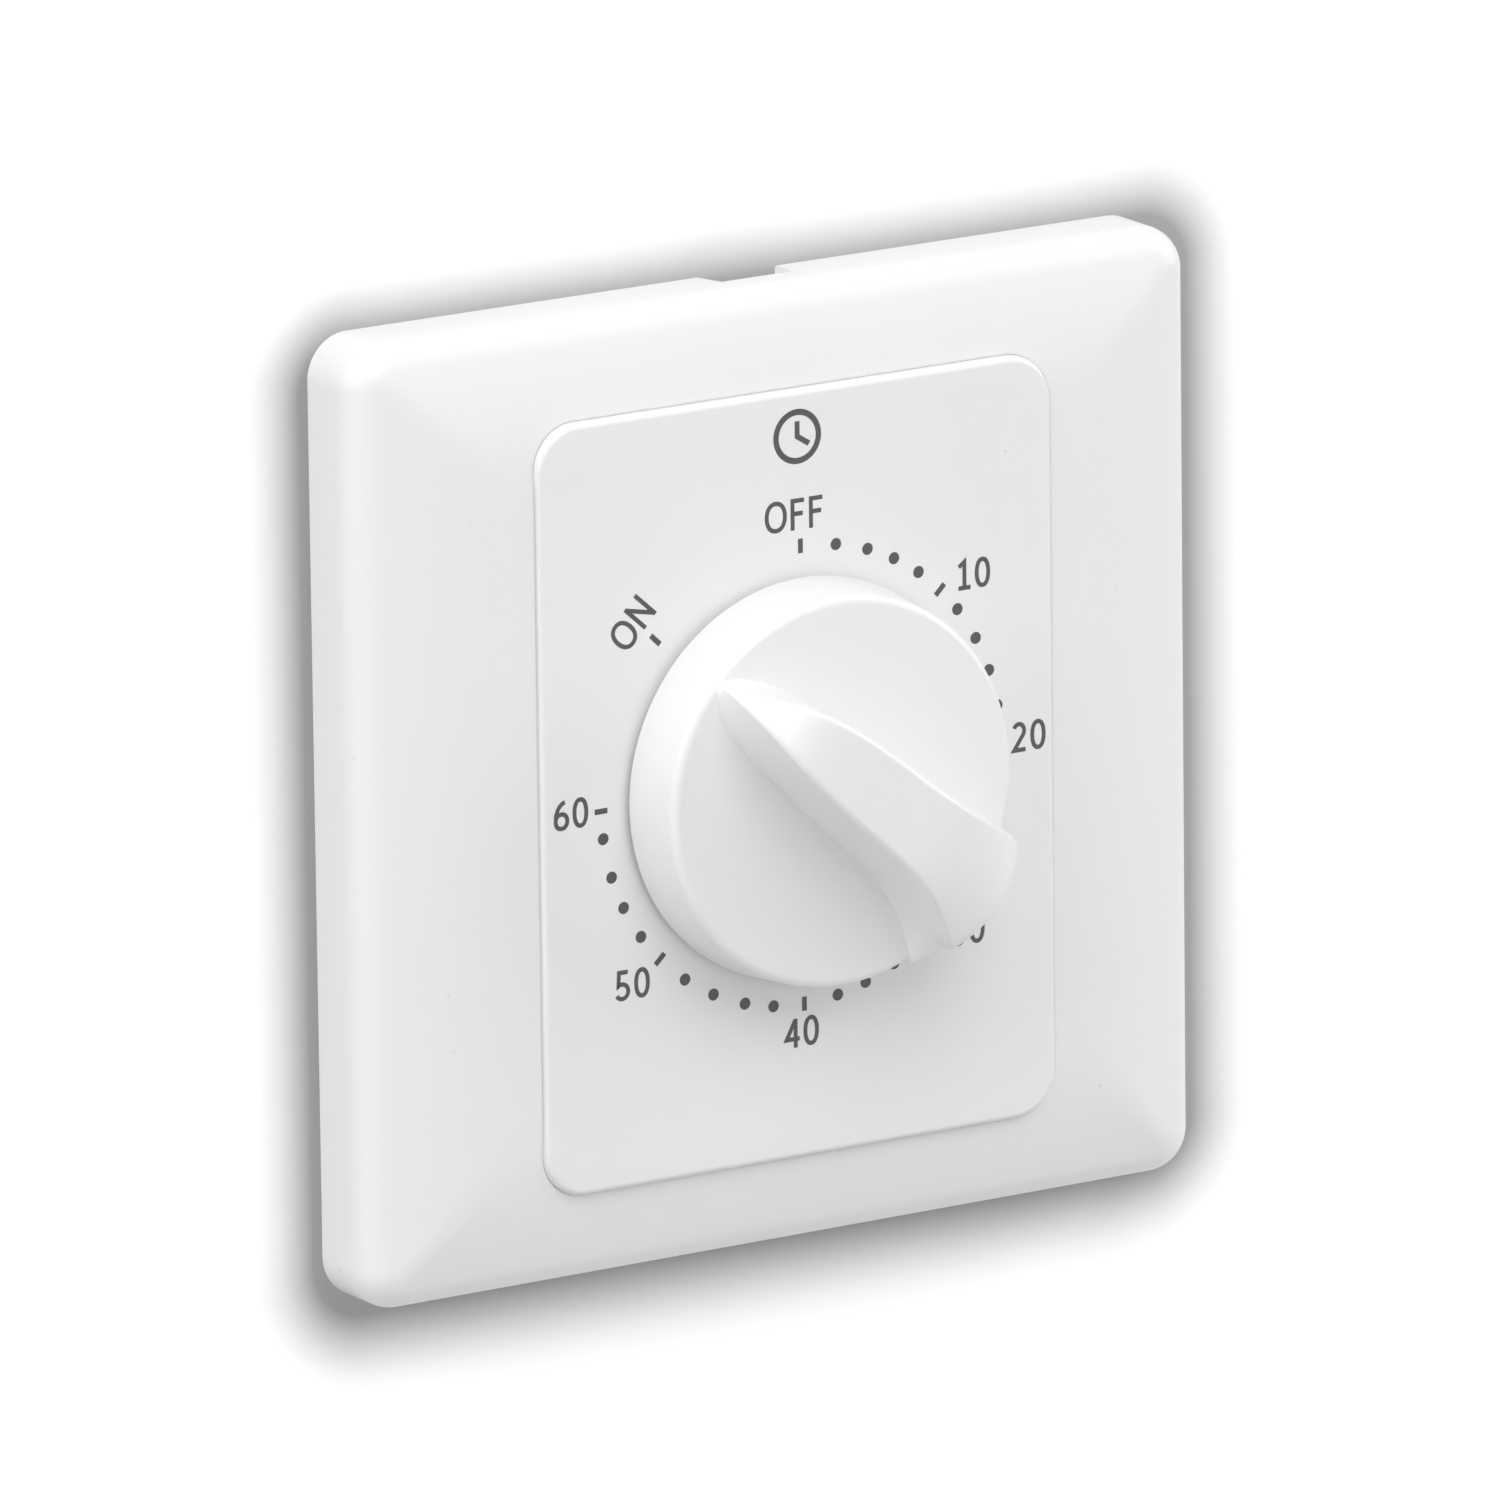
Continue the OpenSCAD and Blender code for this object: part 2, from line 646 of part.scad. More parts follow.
// Friction washer between the great wheel and its collar
module clutch_washer() {
    color("dimgray") upright() difference() {
        turned(great_foot - washer_t, great_foot, shoulder_r + 0.6);
        turned(great_foot - washer_t - cut, great_foot + cut, arbor_neck_r + press_gap);
    }
}

module clutch_collar() {
    color("goldenrod") upright() difference() {
        turned(collar_foot, great_foot - washer_t, collar_r);
        turned(collar_foot - cut, great_foot, arbor_neck_r + press_gap);
    }
}

module second_pinion() {
    color("silver") upright() translate(second_at)
        pinion_arbor(great_top + leaf_over, great_foot - leaf_over, second_top, second_foot,
            heading(second_at, [0, 0]));
}

module second_wheel() {
    color("goldenrod") upright() translate(second_at)
        wheel(wheel_teeth, second_top, wheel_t, arbor_slim_r + press_gap, heading(second_at, third_at));
}

module third_pinion() {
    color("silver") upright() translate(third_at)
        pinion_arbor(second_top + leaf_over, second_foot - leaf_over, third_top, third_foot,
            heading(third_at, second_at));
}

module third_wheel() {
    color("goldenrod") upright() translate(third_at)
        wheel(wheel_teeth, third_top, wheel_t, arbor_slim_r + press_gap, heading(third_at, escape_at));
}

module escape_pinion() {
    color("silver") upright() translate(escape_at)
        pinion_arbor(third_top + leaf_over, third_foot - leaf_over, second_top, second_foot,
            heading(escape_at, third_at));
}

// Escape wheel with raked teeth
module escape_wheel() {
    pitch = 360 / escape_teeth;
    root_r = escape_r - escape_tooth;
    teeth = [for (k = [0:escape_teeth - 1]) each [polar(root_r, k * pitch),
        polar(escape_r, (k + 0.45) * pitch), polar(escape_r, (k + 0.55) * pitch),
        polar(root_r, (k + 0.5) * pitch)]];
    color("goldenrod") upright() translate(escape_at) slab(second_foot, second_top) difference() {
        polygon(teeth);
        circle(arbor_slim_r + press_gap);
        for (k = [0:3]) rotate(90 * k) translate([root_r / 2 + 0.5, 0]) circle(0.9);
    }
}

module verge_arbor() {
    color("silver") upright() translate(verge_at) {
        turned(rear_plate_back, front_plate_z + plate_t, pivot_r);
        turned(verge_foot - 0.8, verge_top + 0.8, arbor_slim_r);
    }
}

// Anchor with two pallet arms and a weighted tail
module verge() {
    bob_at = verge_at + polar(verge_tail_l, heading(escape_at, verge_at));
    color("silver") upright() slab(verge_foot, verge_top) difference() {
        union() {
            for (p = pallet_places) bar(verge_at, p, verge_arm_w);
            bar(verge_at, bob_at, verge_tail_w);
            translate(verge_at) circle(hub_r);
            translate(bob_at) circle(verge_bob_r);
        }
        translate(verge_at) circle(arbor_slim_r + press_gap);
        for (p = pallet_places) translate(p) circle(pallet_r + press_gap);
    }
}

module pallet_pins() {
    color("silver") upright() for (p = pallet_places) translate(p)
        turned(second_foot - 0.2, verge_top, pallet_r);
}

// Flat spiral strip from the arbor out to its post
function spring_r(t) = spring_inner + (spring_outer - spring_inner) * min(1, t)
    + (t > 1 ? (norm(spring_post_at) - spring_post_r - spring_t / 2 - contact_gap - spring_outer)
        * pow((t - 1) * 10, 2) : 0);
module mainspring() {
    end_turn = heading([0, 0], spring_post_at);
    sweep = 360 * spring_turns;
    steps = round(24 * spring_turns);
    line = [for (t = span(0, 1.1, steps)) [spring_r(t), end_turn - sweep * (1.1 - t)]];
    outer = [for (p = line) polar(p[0] + spring_t / 2, p[1])];
    inner = [for (i = [len(line) - 1:-1:0]) polar(line[i][0] - spring_t / 2, line[i][1])];
    color("slategray") upright() slab(spring_foot, spring_top) polygon(concat(outer, inner));
}

module spring_post() {
    color("silver") upright() translate(spring_post_at)
        turned(rear_plate_z, front_plate_z, spring_post_r);
}

module stop_pin() {
    color("silver") upright() translate(stop_at) turned(cam_foot, front_plate_z, stop_pin_r);
}

// Outline shared by the two movement plates
module plate_plan() {
    translate([0, (plate_up - plate_down) / 2])
        rounded_square(2 * plate_half_w, plate_up + plate_down, 2);
}

module pivot_holes() {
    for (p = [second_at, third_at, escape_at, verge_at]) translate(p) circle(pivot_r + pivot_gap);
}

module front_movement_plate() {
    color("silver") upright() difference() {
        union() {
            slab(front_plate_z, panel_back) plate_plan();
            for (x = [-1, 1]) translate([x * movement_screw_x, 0, 0])
                turned(front_plate_z - plate_collar_h, front_plate_z + plate_t / 2, plate_collar_r);
        }
        slab(front_plate_z - cut, panel_back + cut) {
            pivot_holes();
            circle(arbor_r + pivot_gap);
            for (p = pillar_places) translate(p) circle(tenon_r + press_gap);
        }
        for (x = [-1, 1]) translate([x * movement_screw_x, 0, 0])
            turned(front_plate_z - plate_collar_h - cut, panel_back + cut, m3_r + contact_gap);
    }
}

module rear_movement_plate() {
    color("silver") upright() slab(rear_plate_back, rear_plate_z) difference() {
        plate_plan();
        pivot_holes();
        circle(arbor_pivot_r + pivot_gap);
        for (p = pillar_places) translate(p) circle(m2_r + 0.2);
    }
}

module pillars() {
    color("silver") upright() for (p = pillar_places) translate(p) difference() {
        union() {
            turned(rear_plate_z, front_plate_z, pillar_r);
            turned(front_plate_z - cut, panel_back, tenon_r);
        }
        turned(rear_plate_z - cut, rear_plate_z + m2_grip + 1, m2_r + contact_gap);
    }
}

module pillar_screws() {
    color("silver") upright() for (p = pillar_places) translate([p[0], p[1], rear_plate_back])
        pan_screw(m2_r, plate_t + m2_grip, m2_head_r, pillar_head_h);
}

// Countersunk screws under the knob that hold the movement to the panel
module movement_screws() {
    head_h = sink_h - 0.15;
    color("silver") upright() for (x = [-1, 1]) translate([x * movement_screw_x, 0, 0]) difference() {
        union() {
            translate([0, 0, panel_face - contact_gap - head_h])
                cylinder(r1 = m3_r, r2 = screw_head_r, h = head_h);
            turned(front_plate_z - plate_collar_h, panel_face - head_h, m3_r);
        }
        for (turn = [0, 90]) rotate(turn)
            translate([-1.6, -0.3, panel_face - 0.75]) cube([3.2, 0.6, 1]);
    }
}

// Moulded block that carries the terminals and blades, held between the panel and the cover
module terminal_block() {
    color("saddlebrown") upright() difference() {
        translate([-block_w / 2, block_foot, cover_floor])
            cube([block_w, block_top - block_foot, panel_back - cover_floor]);
        for (side = [-1, 1]) {
            translate([side * terminal_x, terminal_y, 0])
                slab(cover_floor - cut, terminal_front + contact_gap)
                square([terminal_w + 2 * contact_gap, terminal_h + 2 * contact_gap], center = true);
            translate([side * blade_x - blade_t / 2 - contact_gap, block_foot - cut, 0])
                slab(terminal_back, blade_top + contact_gap)
                square([blade_t + 2 * contact_gap, terminal_top - block_foot + cut]);
            translate([side * terminal_x, 0, clamp_z]) rotate([-90, 0, 0])
                turned(terminal_y, block_top + cut, screw_head_r + run_gap / 2);
        }
    }
}

// Brass terminal with a wire bore from behind and a clamp hole from above
module terminal(side) {
    color("goldenrod") upright() difference() {
        translate([side * terminal_x - terminal_w / 2, terminal_y - terminal_h / 2, terminal_back])
            cube([terminal_w, terminal_h, terminal_l]);
        translate([side * terminal_x, wire_y, 0])
            turned(terminal_back - cut, terminal_back + wire_depth, wire_r);
        translate([side * terminal_x, 0, clamp_z]) rotate([-90, 0, 0])
            turned(wire_y, terminal_top + cut, clamp_r);
    }
}

module line_terminal() {
    terminal(-1);
}

module load_terminal() {
    terminal(1);
}

module terminal_screws() {
    tip = terminal_top - wire_y - wire_r - run_gap;
    color("silver") upright() for (side = [-1, 1])
        translate([side * terminal_x, terminal_top + run_gap, clamp_z]) rotate([90, 0, 0])
        pan_screw(clamp_r - contact_gap, tip + run_gap, screw_head_r, pan_head_h);
}

// Bent strip: an upright leaf in the block, then an arm across, of one thickness
module blade(side, arm_y, arm_end) {
    outer = side * (blade_x + blade_t / 2);
    leaf_x = side * blade_x - blade_t / 2;
    slab(blade_top - blade_w, blade_top) {
        translate([leaf_x, arm_y]) square([blade_t, terminal_top - 1 - arm_y]);
        translate([min(outer, arm_end), arm_y]) square([abs(outer - arm_end), blade_t]);
    }
    translate([leaf_x, block_foot + 1, terminal_back + 2])
        cube([blade_t, terminal_top - 2 - block_foot, blade_top - terminal_back - 2]);
}

module moving_blade() {
    color("darkgoldenrod") upright() {
        blade(-1, blade_y, contact_x + contact_r + 0.3);
        slab(blade_top - blade_w, blade_top) intersection() {
            translate([0, blade_y + 0.05]) circle(nub_r);
            translate([-nub_r, blade_y - nub_r]) square([2 * nub_r, nub_r + blade_t / 2]);
        }
    }
}

module fixed_blade() {
    color("darkgoldenrod") upright() blade(1, fixed_blade_y, contact_x - contact_r - 0.3);
}

// Round silver contact standing on a blade
module contact(from) {
    color("gainsboro") upright() translate([contact_x, from, blade_top - blade_w / 2])
        rotate([-90, 0, 0]) cylinder(r = contact_r, h = contact_t);
}

module moving_contact() {
    contact(blade_y + blade_t);
}

module fixed_contact() {
    contact(fixed_blade_y - contact_t);
}

front_frame();
base_plate();
rear_cover();
cover_screws();
knob();
knob_clip();
main_arbor();
switch_cam();
great_wheel();
clutch_washer();
clutch_collar();
second_pinion();
second_wheel();
third_pinion();
third_wheel();
escape_pinion();
escape_wheel();
verge_arbor();
verge();
pallet_pins();
mainspring();
spring_post();
stop_pin();
front_movement_plate();
rear_movement_plate();
pillars();
pillar_screws();
movement_screws();
terminal_block();
line_terminal();
load_terminal();
terminal_screws();
moving_blade();
fixed_blade();
moving_contact();
fixed_contact();
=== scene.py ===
"""Looks of a clockwork countdown wall switch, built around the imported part.

Sizes are in metres. Shapes are worked out on the wall's own axes (right, up the wall, out of the wall)
and then stood upright in the part's frame, where the wall faces along -Y.
"""

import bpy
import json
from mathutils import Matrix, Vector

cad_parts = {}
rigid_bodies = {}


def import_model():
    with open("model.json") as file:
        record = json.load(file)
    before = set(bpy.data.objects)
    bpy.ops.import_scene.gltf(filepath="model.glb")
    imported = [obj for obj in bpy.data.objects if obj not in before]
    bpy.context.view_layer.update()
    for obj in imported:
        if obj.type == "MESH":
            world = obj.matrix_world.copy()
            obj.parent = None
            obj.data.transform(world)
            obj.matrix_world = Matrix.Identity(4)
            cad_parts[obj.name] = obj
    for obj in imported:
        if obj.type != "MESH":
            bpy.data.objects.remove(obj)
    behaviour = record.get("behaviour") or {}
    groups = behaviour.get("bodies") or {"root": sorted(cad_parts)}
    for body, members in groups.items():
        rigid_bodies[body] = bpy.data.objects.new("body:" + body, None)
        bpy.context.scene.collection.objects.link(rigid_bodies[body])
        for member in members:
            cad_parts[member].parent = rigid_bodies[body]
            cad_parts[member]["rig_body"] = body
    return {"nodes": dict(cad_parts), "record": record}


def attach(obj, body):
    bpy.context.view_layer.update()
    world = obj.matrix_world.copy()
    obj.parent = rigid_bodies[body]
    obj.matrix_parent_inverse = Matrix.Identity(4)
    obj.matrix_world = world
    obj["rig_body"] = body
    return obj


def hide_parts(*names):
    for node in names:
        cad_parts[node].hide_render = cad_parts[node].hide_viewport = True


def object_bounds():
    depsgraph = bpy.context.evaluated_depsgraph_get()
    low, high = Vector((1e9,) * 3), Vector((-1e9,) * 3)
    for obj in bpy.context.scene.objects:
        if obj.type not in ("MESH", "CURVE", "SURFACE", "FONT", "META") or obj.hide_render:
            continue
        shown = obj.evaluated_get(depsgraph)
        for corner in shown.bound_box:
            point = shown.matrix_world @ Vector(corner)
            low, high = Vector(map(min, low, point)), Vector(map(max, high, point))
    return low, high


bl_info = {
    "name": "Countdown Wall Switch",
    "version": (1, 0, 0),
    "blender": (4, 5, 0),
    "location": "3D View > Sidebar > Wall Switch",
    "description": "Shells, dial print, finishes and stage of a clockwork countdown wall switch",
    "category": "Object",
}

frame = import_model()
CAD_BOX = [list(corner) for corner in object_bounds()]

import json
import math

import bmesh
import bpy
import numpy as np
from bpy.props import FloatProperty, FloatVectorProperty, PointerProperty
from mathutils import Matrix, Vector

MM = 0.001
QUARTER = np.pi / 2

# Finishes: kind, tint, dull and bright roughness, amount of marks (specks or tarnish), bump, colour of marks
DUST, DULL_STEEL = (0.33, 0.31, 0.28), (0.3, 0.26, 0.2)
SURFACES = {
    "gloss_white_shell": ("moulded", "shell", 0.3, 0.27, 0.35, 0.02, DUST),
    "satin_white_cover": ("moulded", "cover", 0.5, 0.4, 0.3, 0.3, DUST),
    "dial_ink": ("moulded", "ink", 0.55, 0.42, 0.5, 0.25, (0.2, 0.2, 0.2)),
    "brown_phenolic": ("moulded", "phenolic", 0.55, 0.4, 0.3, 0.3, (0.3, 0.2, 0.12)),
    "milky_nylon": ("moulded", "nylon", 0.5, 0.4, 0.2, 0.2, DUST),
    "zinc_plate": ("worked", "zinc", 0.4, 0.26, 0.15, 0.2, (0.45, 0.44, 0.40)),
    "turned_steel": ("worked", "steel", 0.36, 0.2, 0.2, 0.2, DULL_STEEL),
    "plated_sheet": ("worked", "sheet", 0.45, 0.3, 0.2, 0.25, DULL_STEEL),
    "blued_spring": ("worked", "blued", 0.34, 0.2, 0.3, 0.2, (0.16, 0.12, 0.1)),
    "stamped_brass": ("worked", "brass", 0.38, 0.22, 0.35, 0.2, (0.36, 0.24, 0.10)),
    "rolled_bronze": ("worked", "bronze", 0.4, 0.25, 0.35, 0.2, (0.3, 0.17, 0.09)),
    "bright_silver": ("worked", "silver", 0.3, 0.16, 0.2, 0.1, (0.4, 0.38, 0.33)),
}
REAR_FINISHES = {"cover_screws": "zinc_plate", "terminal_screws": "zinc_plate",
                 "line_terminal": "stamped_brass", "load_terminal": "stamped_brass",
                 "terminal_block": "brown_phenolic"}
SLOT_FINISHES = {"spring_steel": "blued_spring", "steel": "turned_steel", "plate_steel": "plated_sheet",
                 "brass": "stamped_brass", "bronze": "rolled_bronze", "silver": "bright_silver",
                 "plated_steel": "zinc_plate", "nylon": "milky_nylon"}

# Places of the dial's words in millimetres from the knob's axis, and of its marks in degrees from the top
FIGURE_SPOTS = {"10": (18.3, 15.8), "20": (24.0, 0.2), "30": (17.4, -16.6), "40": (-0.1, -23.3),
                "50": (-17.6, -16.3), "60": (-23.7, 0.0)}
OFF_SPOT, ON_SPOT, ON_TURN = (-0.3, 23.7), (-17.2, 16.2), 48
SIGN_SPOT = (0.1, 30.7)
DOT_ANGLES = (10.5, 19.9, 28.2, 36.5, 52.1, 61.6, 71, 80.5, 99, 108, 117, 126, 144, 153, 162, 170.3,
              188.9, 197.3, 207, 216.5, 234.2, 243.5, 252.2, 262.4)
TICK_ANGLES = (0.3, 44.6, 90, 135, 180, 225.9, 269.4, 313.9)

# Lamps and floor, in metres
LAMP_PLACES = {"top": (-0.15, -0.9, 0.95), "left": (-1.0, -0.15, 0.7),
               "right": (1.1, -0.35, 0.45), "back": (0.3, 1.2, 0.2)}
LAMP_SIDE = 0.9
FLOOR_REACH = 1.5


def length(name, description, millimetres):
    """A size that the panel shows with its unit."""
    return FloatProperty(name=name, description=description, default=millimetres * MM,
                         min=0.0, precision=5, unit="LENGTH", subtype="DISTANCE")


def angle(name, description, degrees):
    """A turn that the panel shows in degrees."""
    return FloatProperty(name=name, description=description, default=math.radians(degrees),
                         unit="ROTATION", subtype="ANGLE")


def colour(name, description, value):
    """A linear colour with a picker."""
    return FloatVectorProperty(name=name, description=description, default=value,
                               size=3, min=0.0, max=1.0, subtype="COLOR")


def amount(name, description, value):
    """A plain number."""
    return FloatProperty(name=name, description=description, default=value, min=0.0)


class FrameSizes(bpy.types.PropertyGroup):
    """Sizes of the pillowed front frame."""

    side: length("Side", "Outer width and height of the front frame", 87)
    corner: length("Corner", "Radius of the outer corners", 4)
    wall: length("Wall", "Thickness of the frame's skin", 2)
    side_height: length("Side height", "Straight part of the side walls", 5)
    edge: length("Edge round", "Radius between the side wall and the pillowed face", 3.3)
    pillow: length("Pillow radius", "Radius of the swelling of the face", 42)
    slope: angle("Pillow slope", "Slope of the face where it meets the edge round", 19)
    hip: length("Hip round", "Softness of the ridges that run in from the corners", 1.2)
    notch_width: length("Notch width", "Flat part of the lever notch in the top side", 7.3)
    notch_height: length("Notch height", "Depth of the lever notch", 2.7)
    notch_ramp: length("Notch ramp", "Sloping end of the lever notch", 0.9)
    notch_shift: length("Notch shift", "Middle of the notch, right of the middle of the side", 1.0)


class PanelSizes(bpy.types.PropertyGroup):
    """Sizes of the dial panel that stands in the frame's window."""

    width: length("Width", "Width of the dial panel", 53.2)
    height: length("Height", "Height of the dial panel", 69.4)
    corner: length("Corner", "Corner radius of the dial panel", 4.2)
    edge: length("Edge round", "Radius of the panel's front edge", 0.45)
    proud: length("Proud", "How far the panel stands in front of the frame's crown", 0.3)
    gap: length("Gap", "Gap between the panel and the window", 0.12)


class KnobSizes(bpy.types.PropertyGroup):
    """Sizes of the dial knob and its grip."""

    diameter: length("Diameter", "Width of the knob at its foot", 36.3)
    taper: length("Taper", "How far the skirt draws in towards its rim", 0.5)
    gap: length("Gap", "Gap between the knob and the panel", 0.6)
    skirt: length("Skirt", "Height of the knob's disc above the panel", 7.2)
    wall: length("Wall", "Thickness of the knob's skin", 1.8)
    edge: length("Edge round", "Radius of the knob's rim", 0.85)
    dome: length("Dome", "Swelling of the knob's disc", 0.5)
    grip_height: length("Grip height", "Height of the grip above the disc", 9.29)
    grip_foot: length("Grip foot", "Half width of the grip where it meets the disc", 4.0)
    grip_ridge: length("Grip ridge", "Half width of the grip along its ridge", 3.7)
    lean: length("Grip shift", "How far the grip stands beside the axis, on its upper side", 0.4)
    pointer: angle("Pointer", "Turn of the grip's tip, against the clock from the top", 49.3)


class DialPrint(bpy.types.PropertyGroup):
    """Sizes of the printed dial."""

    ring: length("Mark ring", "Radius on which the dots and ticks stand", 20.8)
    aside: length("Mark shift", "How far the marks stand right of the knob's axis", 0.2)
    figure: length("Figure height", "Height of the minute figures", 2.75)
    letter: length("Letter height", "Height of the two switch words", 2.85)
    stroke: length("Stroke", "Width of the printed lines", 0.4)
    dot: length("Dot", "Diameter of the minute dots", 1.1)
    tick: length("Tick", "Length of the ticks", 1.3)
    sign: length("Clock sign", "Diameter of the clock sign above the dial", 4.4)


class Finishes(bpy.types.PropertyGroup):
    """Colours of the finishes."""

    shell: colour("White shell", "Gloss white moulding", (0.86, 0.86, 0.865))
    cover: colour("Rear cover", "Satin white moulding of the rear cover", (0.78, 0.78, 0.77))
    ink: colour("Ink", "Grey ink of the dial", (0.075, 0.077, 0.082))
    zinc: colour("Zinc plate", "Plated screws", (0.72, 0.72, 0.70))
    blued: colour("Blued spring", "Spring steel", (0.20, 0.23, 0.29))
    steel: colour("Steel", "Turned arbors and pins", (0.62, 0.62, 0.63))
    sheet: colour("Sheet steel", "Movement plates", (0.66, 0.66, 0.65))
    brass: colour("Brass", "Wheels and terminals", (0.78, 0.58, 0.24))
    bronze: colour("Bronze", "Contact blades", (0.72, 0.45, 0.24))
    nylon: colour("Nylon", "Switch cam", (0.84, 0.80, 0.70))
    phenolic: colour("Phenolic", "Terminal block", (0.12, 0.055, 0.03))
    silver: colour("Silver", "Contact buttons", (0.88, 0.87, 0.85))


class StageLight(bpy.types.PropertyGroup):
    """Levels of the studio light."""

    top: amount("Top", "Power of the large lamp above and in front, in watts", 7.8)
    left: amount("Left", "Power of the lamp at the left, in watts", 7.5)
    right: amount("Right", "Power of the lamp at the right, in watts", 5.4)
    back: amount("Back", "Power of the lamp behind the switch, in watts", 6.5)
    sky: amount("Sky", "Strength of the even light from all round", 0.4)
    lift: amount("Lift", "Brightness added to the card where it is seen", 0.32)
    floor_lift: amount("Floor lift", "Brightness added to the floor where it is seen", 0.95)
    # Shade and its reach set a painted shadow: the card's colour and glow are darkened round the plate, on top
    # of the real shadow
    shade: amount("Shade", "Depth of the soft shade on the card round the plate", 0.67)
    painted_shade_reach: length("Shade reach", "Distance over which the shade fades out", 7.8)
    card_gap: length("Card gap", "Distance from the plate's foot back to the card", 2)
    card_side: length("Card side", "Width and height of the card behind the plate", 190)
    floor_drop: length("Floor drop", "How far the floor lies below the plate", 160)
    card: colour("Card", "Colour of the card", (0.92, 0.92, 0.92))
    floor: colour("Floor", "Colour of the floor", (0.52, 0.52, 0.52))


def upright(points):
    """Turns the wall's axes (right, up, out) into the part's: x stays, up becomes z, out becomes -y."""
    x, y, z = np.moveaxis(np.asarray(points, float), -1, 0)
    return np.stack([x, -z, y], axis=-1)


def turned_by(turn):
    """The matrix that turns rows of plan points against the clock."""
    c, s = math.cos(turn), math.sin(turn)
    return np.array([[c, s], [-s, c]])


def grid_faces(rows, cols, wrap_rows=False, wrap_cols=False):
    """Quads between neighbours of a grid stored row by row; a wrapped way joins its last line to its first."""
    row = np.arange(rows if wrap_rows else rows - 1)[:, None]
    col = np.arange(cols if wrap_cols else cols - 1)[None, :]
    next_row = (row + 1) % rows
    next_col = (col + 1) % cols
    corners = np.broadcast_arrays(row * cols + col, row * cols + next_col,
                                  next_row * cols + next_col, next_row * cols + col)
    return np.stack(corners, axis=-1).reshape(-1, 4)


def woven(points, wrap_rows=True):
    """A grid of points with its quads; the columns go once round, and the rows too where they wrap."""
    return points.reshape(-1, 3), grid_faces(*points.shape[:2], wrap_rows, True)


def cap(rim):
    """A fan of triangles from the middle of a closed line of points."""
    index = np.arange(len(rim))
    fan = np.stack([index, (index + 1) % len(rim), np.full_like(index, len(rim))], axis=-1)
    return np.concatenate([rim, rim.mean(axis=0)[None]]), fan


def put(name, data):
    """An object of a mesh, a lamp or a camera, put into the scene."""
    thing = bpy.data.objects.new(name, data)
    bpy.context.scene.collection.objects.link(thing)
    return thing


def dress(mesh, finish):
    """Gives a mesh one finish."""
    mesh.materials.clear()
    mesh.materials.append(finish)


def mend(mesh, weld, crease, flat=None):
    """Merges points closer than the weld, makes faces whole that are flat within an angle or else turns all
    faces outwards, and shades them smoothly where they meet at less than the crease, in degrees."""
    work = bmesh.new()
    work.from_mesh(mesh)
    bmesh.ops.remove_doubles(work, verts=work.verts, dist=weld)
    if flat:
        bmesh.ops.dissolve_limit(work, angle_limit=math.radians(flat), verts=work.verts, edges=work.edges)
    else:
        bmesh.ops.recalc_face_normals(work, faces=work.faces)
    work.to_mesh(mesh)
    work.free()
    mesh.shade_smooth()
    mesh.set_sharp_from_angle(angle=math.radians(crease))


def make_piece(name, parts, finish, body, stands_for=(), crease=38):
    """Joins (points, faces) pairs to one piece and lets it ride."""
    points, faces, start = [], [], 0
    for part_points, part_faces in parts:
        points.append(part_points.reshape(-1, 3))
        faces += (part_faces + start).tolist()
        start += len(points[-1])
    mesh = bpy.data.meshes.new(name)
    mesh.from_pydata(upright(np.concatenate(points)).tolist(), [], faces)
    mend(mesh, weld=1e-7, crease=crease)
    dress(mesh, finish)
    piece = put(name, mesh)
    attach(piece, body)
    if stands_for:
        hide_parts(*stands_for)


def ring_lines(per_side, per_corner, on_top=()):
    """Columns round a rounded rectangle, from the lower right, against the clock.

    Each column holds two shares of the straight half lengths and two of the corner radius. On the right
    side the shares are (1, t) and (1, 0), and in the corner after it (1, 1) and (cos a, sin a). The other
    three quarters are this one turned by 90, 180 and 270 degrees. on_top adds values of t to the top side.
    """
    even = np.linspace(-1, 1, per_side + 2)[1:-1]
    bend = np.linspace(0, QUARTER, per_corner + 1)
    quarters = []
    for quarter, turned in enumerate((1, 1j, -1, -1j)):
        t = np.unique(np.concatenate([even, on_top])) if quarter == 1 else even
        share = np.concatenate([1 + 1j * t, np.full(bend.size, 1 + 1j)]) * turned
        turn = np.concatenate([np.ones(t.size), np.cos(bend) + 1j * np.sin(bend)]) * turned
        quarters.append([share.real, share.imag, turn.real, turn.imag])
    return np.concatenate(quarters, axis=1)


def rounded(lines, half_w, half_h, radius):
    """Points of rounded rectangles: share times (half length - radius) plus turn times radius."""
    half_w, half_h, radius = (np.reshape(v, (-1, 1)) for v in np.broadcast_arrays(half_w, half_h, radius))
    return np.stack([lines[0] * (half_w - radius) + lines[2] * radius,
                     lines[1] * (half_h - radius) + lines[3] * radius], axis=-1)


def raised(plan, height):
    """Plan points with a height for each, as rows of 3-D points."""
    height = np.broadcast_to(height, plan.shape[:-1])
    return np.concatenate([plan, height[..., None]], axis=-1)


def arc(cx, cy, rx, ry, start, stop, steps=22):
    """Points on an ellipse between two angles in degrees."""
    turn = np.radians(np.linspace(start, stop, steps))
    return np.stack([cx + rx * np.cos(turn), cy + ry * np.sin(turn)], axis=-1)


def pillow_centre(sizes):
    """Distance in from the side, and height, of the centre of the frame's pillow arc."""
    reach = sizes.pillow - sizes.edge
    return sizes.edge + reach * math.sin(sizes.slope), sizes.side_height - reach * math.cos(sizes.slope)


def panel_face(scene):
    """Height of the dial panel's face: the frame's crown and how far the panel stands in front of it."""
    return pillow_centre(scene.switch_frame)[1] + scene.switch_frame.pillow + scene.switch_panel.proud


